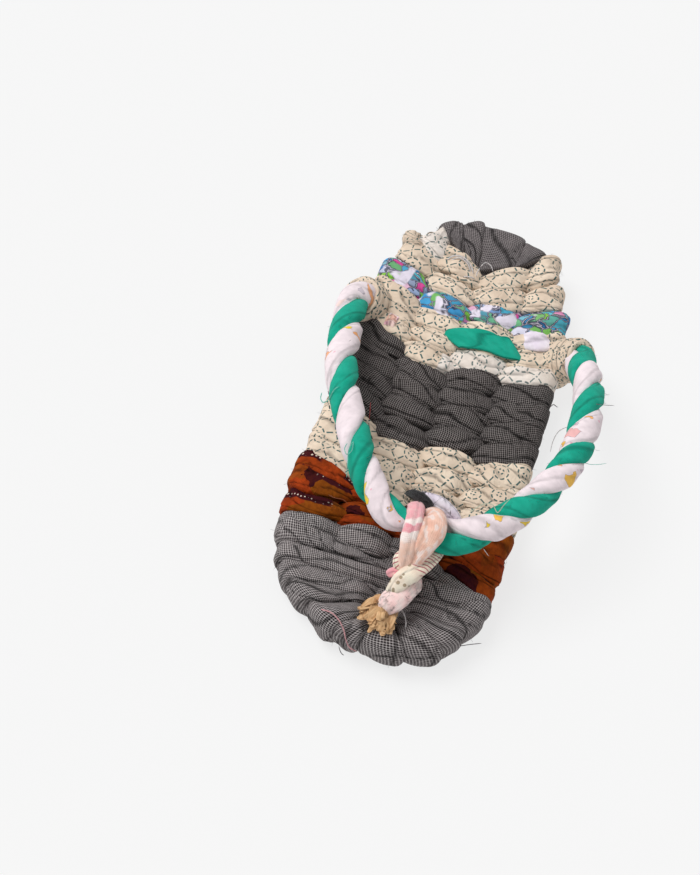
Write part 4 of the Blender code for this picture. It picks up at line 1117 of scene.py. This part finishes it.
class SANDAL_OT_twist_strap(bpy.types.Operator):
    """Twists the green and the printed strand into the strap"""
    bl_idname = "sandal.twist_strap"
    bl_label = "Twist Strap"

    def execute(self, context):
        strap = context.scene.rag_sandal.strap
        line = strap_line()
        crests = np.array((12.0, *STRAND_CRESTS, 330.0))
        turn = np.interp(travelled(line), crests, np.arange(-1, len(STRAND_CRESTS) + 1)) * math.pi
        for name, cloth, start, share, pushed, seed in (
                ("strap_strand_green", "emerald", 0.0, 0.94, (0.0, -1.6, -0.6), 5.0),
                ("strap_strand_print", "bright_white", math.pi, 1.08, (0.0, 12.0, 3.5), 6.0)):
            strand = twisted(line, turn + start, strap.strand_offset / MM, strap.strand_width / MM * share,
                             strap.strand_height / MM, pushed, girth=30, pleats=3.0, depth=strap.pleat_depth / MM,
                             seed=seed, creased=0.25)
            sew(name, [strand], cloth, ["strap"])
        return {"FINISHED"}


class SANDAL_OT_loop_thong(bpy.types.Operator):
    """Loops the rags of the toe thong over the strap and draws them down into the toe"""
    bl_idname = "sandal.loop_thong"
    bl_label = "Loop Toe Thong"

    def execute(self, context):
        thong, pieces = context.scene.rag_sandal.thong, {}
        for number, (name, cloth, wide, tall, depth, route) in enumerate(THONG_TURNS):
            wide, tall = np.array(wide) * thong.thickness, np.array(tall) * thong.thickness
            strand = rag_rope(route, wide, tall, girth=36, pleats=4.0, depth=depth, seed=number * 3.0 + 80.0,
                              creased=0.2)
            pieces[name] = sew(name, [strand], cloth, ["toe_thong"])
        for name, number in (("thong_strand_pale", thong.hairs), ("thong_scrap_black", thong.hairs // 3),
                             ("thong_scrap_white", thong.hairs // 2)):
            hairs = loose_hairs(pieces[name], number, 4, 2.8, 0.08, 0.6)
            sew("fluff_on_" + name, hairs, pieces[name].data.materials[0].name)
        return {"FINISHED"}


class SANDAL_OT_tie_tuft(bpy.types.Operator):
    """Spreads the straw stalks that come out of the toe under the thong"""
    bl_idname = "sandal.tie_tuft"
    bl_label = "Tie Straw Tuft"

    def execute(self, context):
        rng = np.random.default_rng(9)
        fan = smooth_line(TUFT_TIPS, 0.2)
        stalks = []
        for number in range(context.scene.rag_sandal.thong.stalks):
            tip = fan[int(rng.uniform(0.0, len(fan) - 1))] + rng.normal(0.0, (0.9, 1.4, 0.9))
            root = np.array(TUFT_ROOT) + rng.normal(0.0, (1.9, 1.0, 1.5))
            bend = (root + tip) / 2.0 + rng.normal(0.0, (1.4, 1.4, 1.3)) + (0.0, 0.0, 1.8)
            line = smooth_line((root, bend, tip, tip + rng.normal(0.0, (1.3, 1.3, 0.8))), 0.9)
            towards = rng.normal(0.0, (0.5, 0.5, 0.3)) + (0.0, 0.0, 1.0)
            width = rng.uniform(0.8, 2.1) * spread((0.6, 1.0, 1.0, 0.4), line, (0.0, 0.3, 0.8, 1.0))
            stalks.append(tube(line, towards, width, 0.28, girth=14, pleats=3.0, depth=0.2, seed=number * 1.7))
        sew("straw_tuft", stalks, "straw", ["thong_tuft"])
        return {"FINISHED"}


class SANDAL_OT_add_scraps(bpy.types.Operator):
    """Adds the ends of rag that lie on the weave and the loose ends of yarn"""
    bl_idname = "sandal.add_scraps"
    bl_label = "Add Scraps and Threads"

    def execute(self, context):
        for number, (name, cloth, slot, width, height, slant, route) in enumerate(SCRAPS):
            sizes = np.array((0.94, 1.0, 1.0, 1.0, 1.0, 0.94))
            strand = rag_rope(route, width * sizes, height * sizes, (0.0, 0.0, 1.0), slanted=slant, girth=36,
                              pleats=3.0, depth=0.35, seed=number * 5.0 + 120.0, fullness=5.0)
            sew(name, [strand], cloth)
        for cloth, ends in LOOSE_THREADS.items():
            strands = [thread(route, radius) for radius, route in ends]
            sew("loose_" + cloth, strands, cloth)
        return {"FINISHED"}


class SANDAL_OT_raise_fibres(bpy.types.Operator):
    """Raises fine loose fibres from the worn cloths"""
    bl_idname = "sandal.raise_fibres"
    bl_label = "Raise Fibres"

    def execute(self, context):
        share = context.scene.rag_sandal.weave.fibres
        for piece, node, cloth, number in FIBRES:
            hairs = loose_hairs(bpy.data.objects[piece], round(number * share), len(piece), 2.4, 0.06, 0.8)
            sew("fibres_on_" + piece, hairs, cloth)
        return {"FINISHED"}


class SANDAL_OT_set_stage(bpy.types.Operator):
    """Puts down the pale floor, the soft light and the camera"""
    bl_idname = "sandal.set_stage"
    bl_label = "Set Stage"

    def execute(self, context):
        scene, stage = context.scene, context.scene.rag_sandal.stage
        leave_nothing_selected()
        bpy.ops.mesh.primitive_plane_add(size=16.0)
        floor = context.object
        floor.name = floor.data.name = "floor"
        paper = bpy.data.materials.new("pale_paper")
        paper.use_nodes = True
        surface, white = paper.node_tree.nodes["Principled BSDF"].inputs, (1.0, 1.0, 1.0, 1.0)
        for socket, value in {"Base Color": (stage.floor, stage.floor, stage.floor, 1.0), "Roughness": 1.0,
                              "Specular IOR Level": 0.0, "Emission Color": white,
                              "Emission Strength": stage.glow}.items():
            surface[socket].default_value = value
        floor.data.materials.append(paper)

        scene.world = bpy.data.worlds.new("studio")
        scene.world.use_nodes = True
        sky = scene.world.node_tree.nodes["Background"].inputs
        sky["Color"].default_value, sky["Strength"].default_value = white, stage.sky
        bpy.ops.object.light_add(type="SUN")
        lamp = context.object
        lamp.name = "soft_lamp"
        lamp.data.energy, lamp.data.angle = stage.sun, math.radians(LAMP_BREADTH)
        lamp.rotation_euler = Vector(LAMP_HEADING).to_track_quat("-Z", "Y").to_euler()

        turn, rise = stage.azimuth, stage.elevation
        back = Vector((math.sin(turn) * math.cos(rise), -math.cos(turn) * math.cos(rise), math.sin(rise)))
        right = Vector((math.cos(turn), math.sin(turn), 0.0))
        up = back.cross(right)
        right, up = turned(right, up, stage.roll)
        place = back * stage.distance
        back = (place + right * AIM[0] * MM - up * AIM[1] * MM).normalized()
        right = up.cross(back).normalized()
        up = back.cross(right)
        bpy.ops.object.camera_add()
        camera = context.object
        camera.matrix_world = Matrix.Translation(place) @ Matrix((right, up, back)).transposed().to_4x4()
        camera.data.lens = stage.lens
        scene.camera = camera
        scene.view_settings.view_transform = "Standard"
        return {"FINISHED"}


OPERATORS = (
    SANDAL_OT_weave_sole, SANDAL_OT_fold_caps, SANDAL_OT_wind_loops, SANDAL_OT_twist_strap, SANDAL_OT_loop_thong,
    SANDAL_OT_tie_tuft, SANDAL_OT_add_scraps, SANDAL_OT_raise_fibres, SANDAL_OT_set_stage)


class SANDAL_PT_rag_sandal(bpy.types.Panel):
    """Lists the steps of the sandal's making"""
    bl_idname = "SANDAL_PT_rag_sandal"
    bl_label = "Rag Sandal"
    bl_space_type = "VIEW_3D"
    bl_region_type = "UI"
    bl_category = "Rag Sandal"

    def draw(self, context):
        settings = context.scene.rag_sandal
        for operator in OPERATORS:
            self.layout.operator(operator.bl_idname)
        for part in (settings.weave, settings.caps, settings.strap, settings.thong, settings.colours, settings.stage):
            box = self.layout.box()
            for name in part.bl_rna.properties.keys():
                if name not in ("rna_type", "name"):
                    box.prop(part, name)


CLASSES = (SandalWeave, SandalCaps, SandalStrap, SandalThong, SandalColours, SandalStage, RagSandal, *OPERATORS,
           SANDAL_PT_rag_sandal)


def register():
    for part in CLASSES:
        bpy.utils.register_class(part)
    bpy.types.Scene.rag_sandal = PointerProperty(
        name="Rag Sandal", description="Sizes and colours of the sandal", type=RagSandal)


def unregister():
    del bpy.types.Scene.rag_sandal
    for part in reversed(CLASSES):
        bpy.utils.unregister_class(part)


def main():
    register()
    bpy.ops.sandal.weave_sole()
    bpy.ops.sandal.fold_caps()
    bpy.ops.sandal.wind_loops()
    bpy.ops.sandal.twist_strap()
    bpy.ops.sandal.loop_thong()
    bpy.ops.sandal.tie_tuft()
    bpy.ops.sandal.add_scraps()
    bpy.ops.sandal.raise_fibres()
    bpy.ops.sandal.set_stage()


if __name__ == "__main__":
    main()
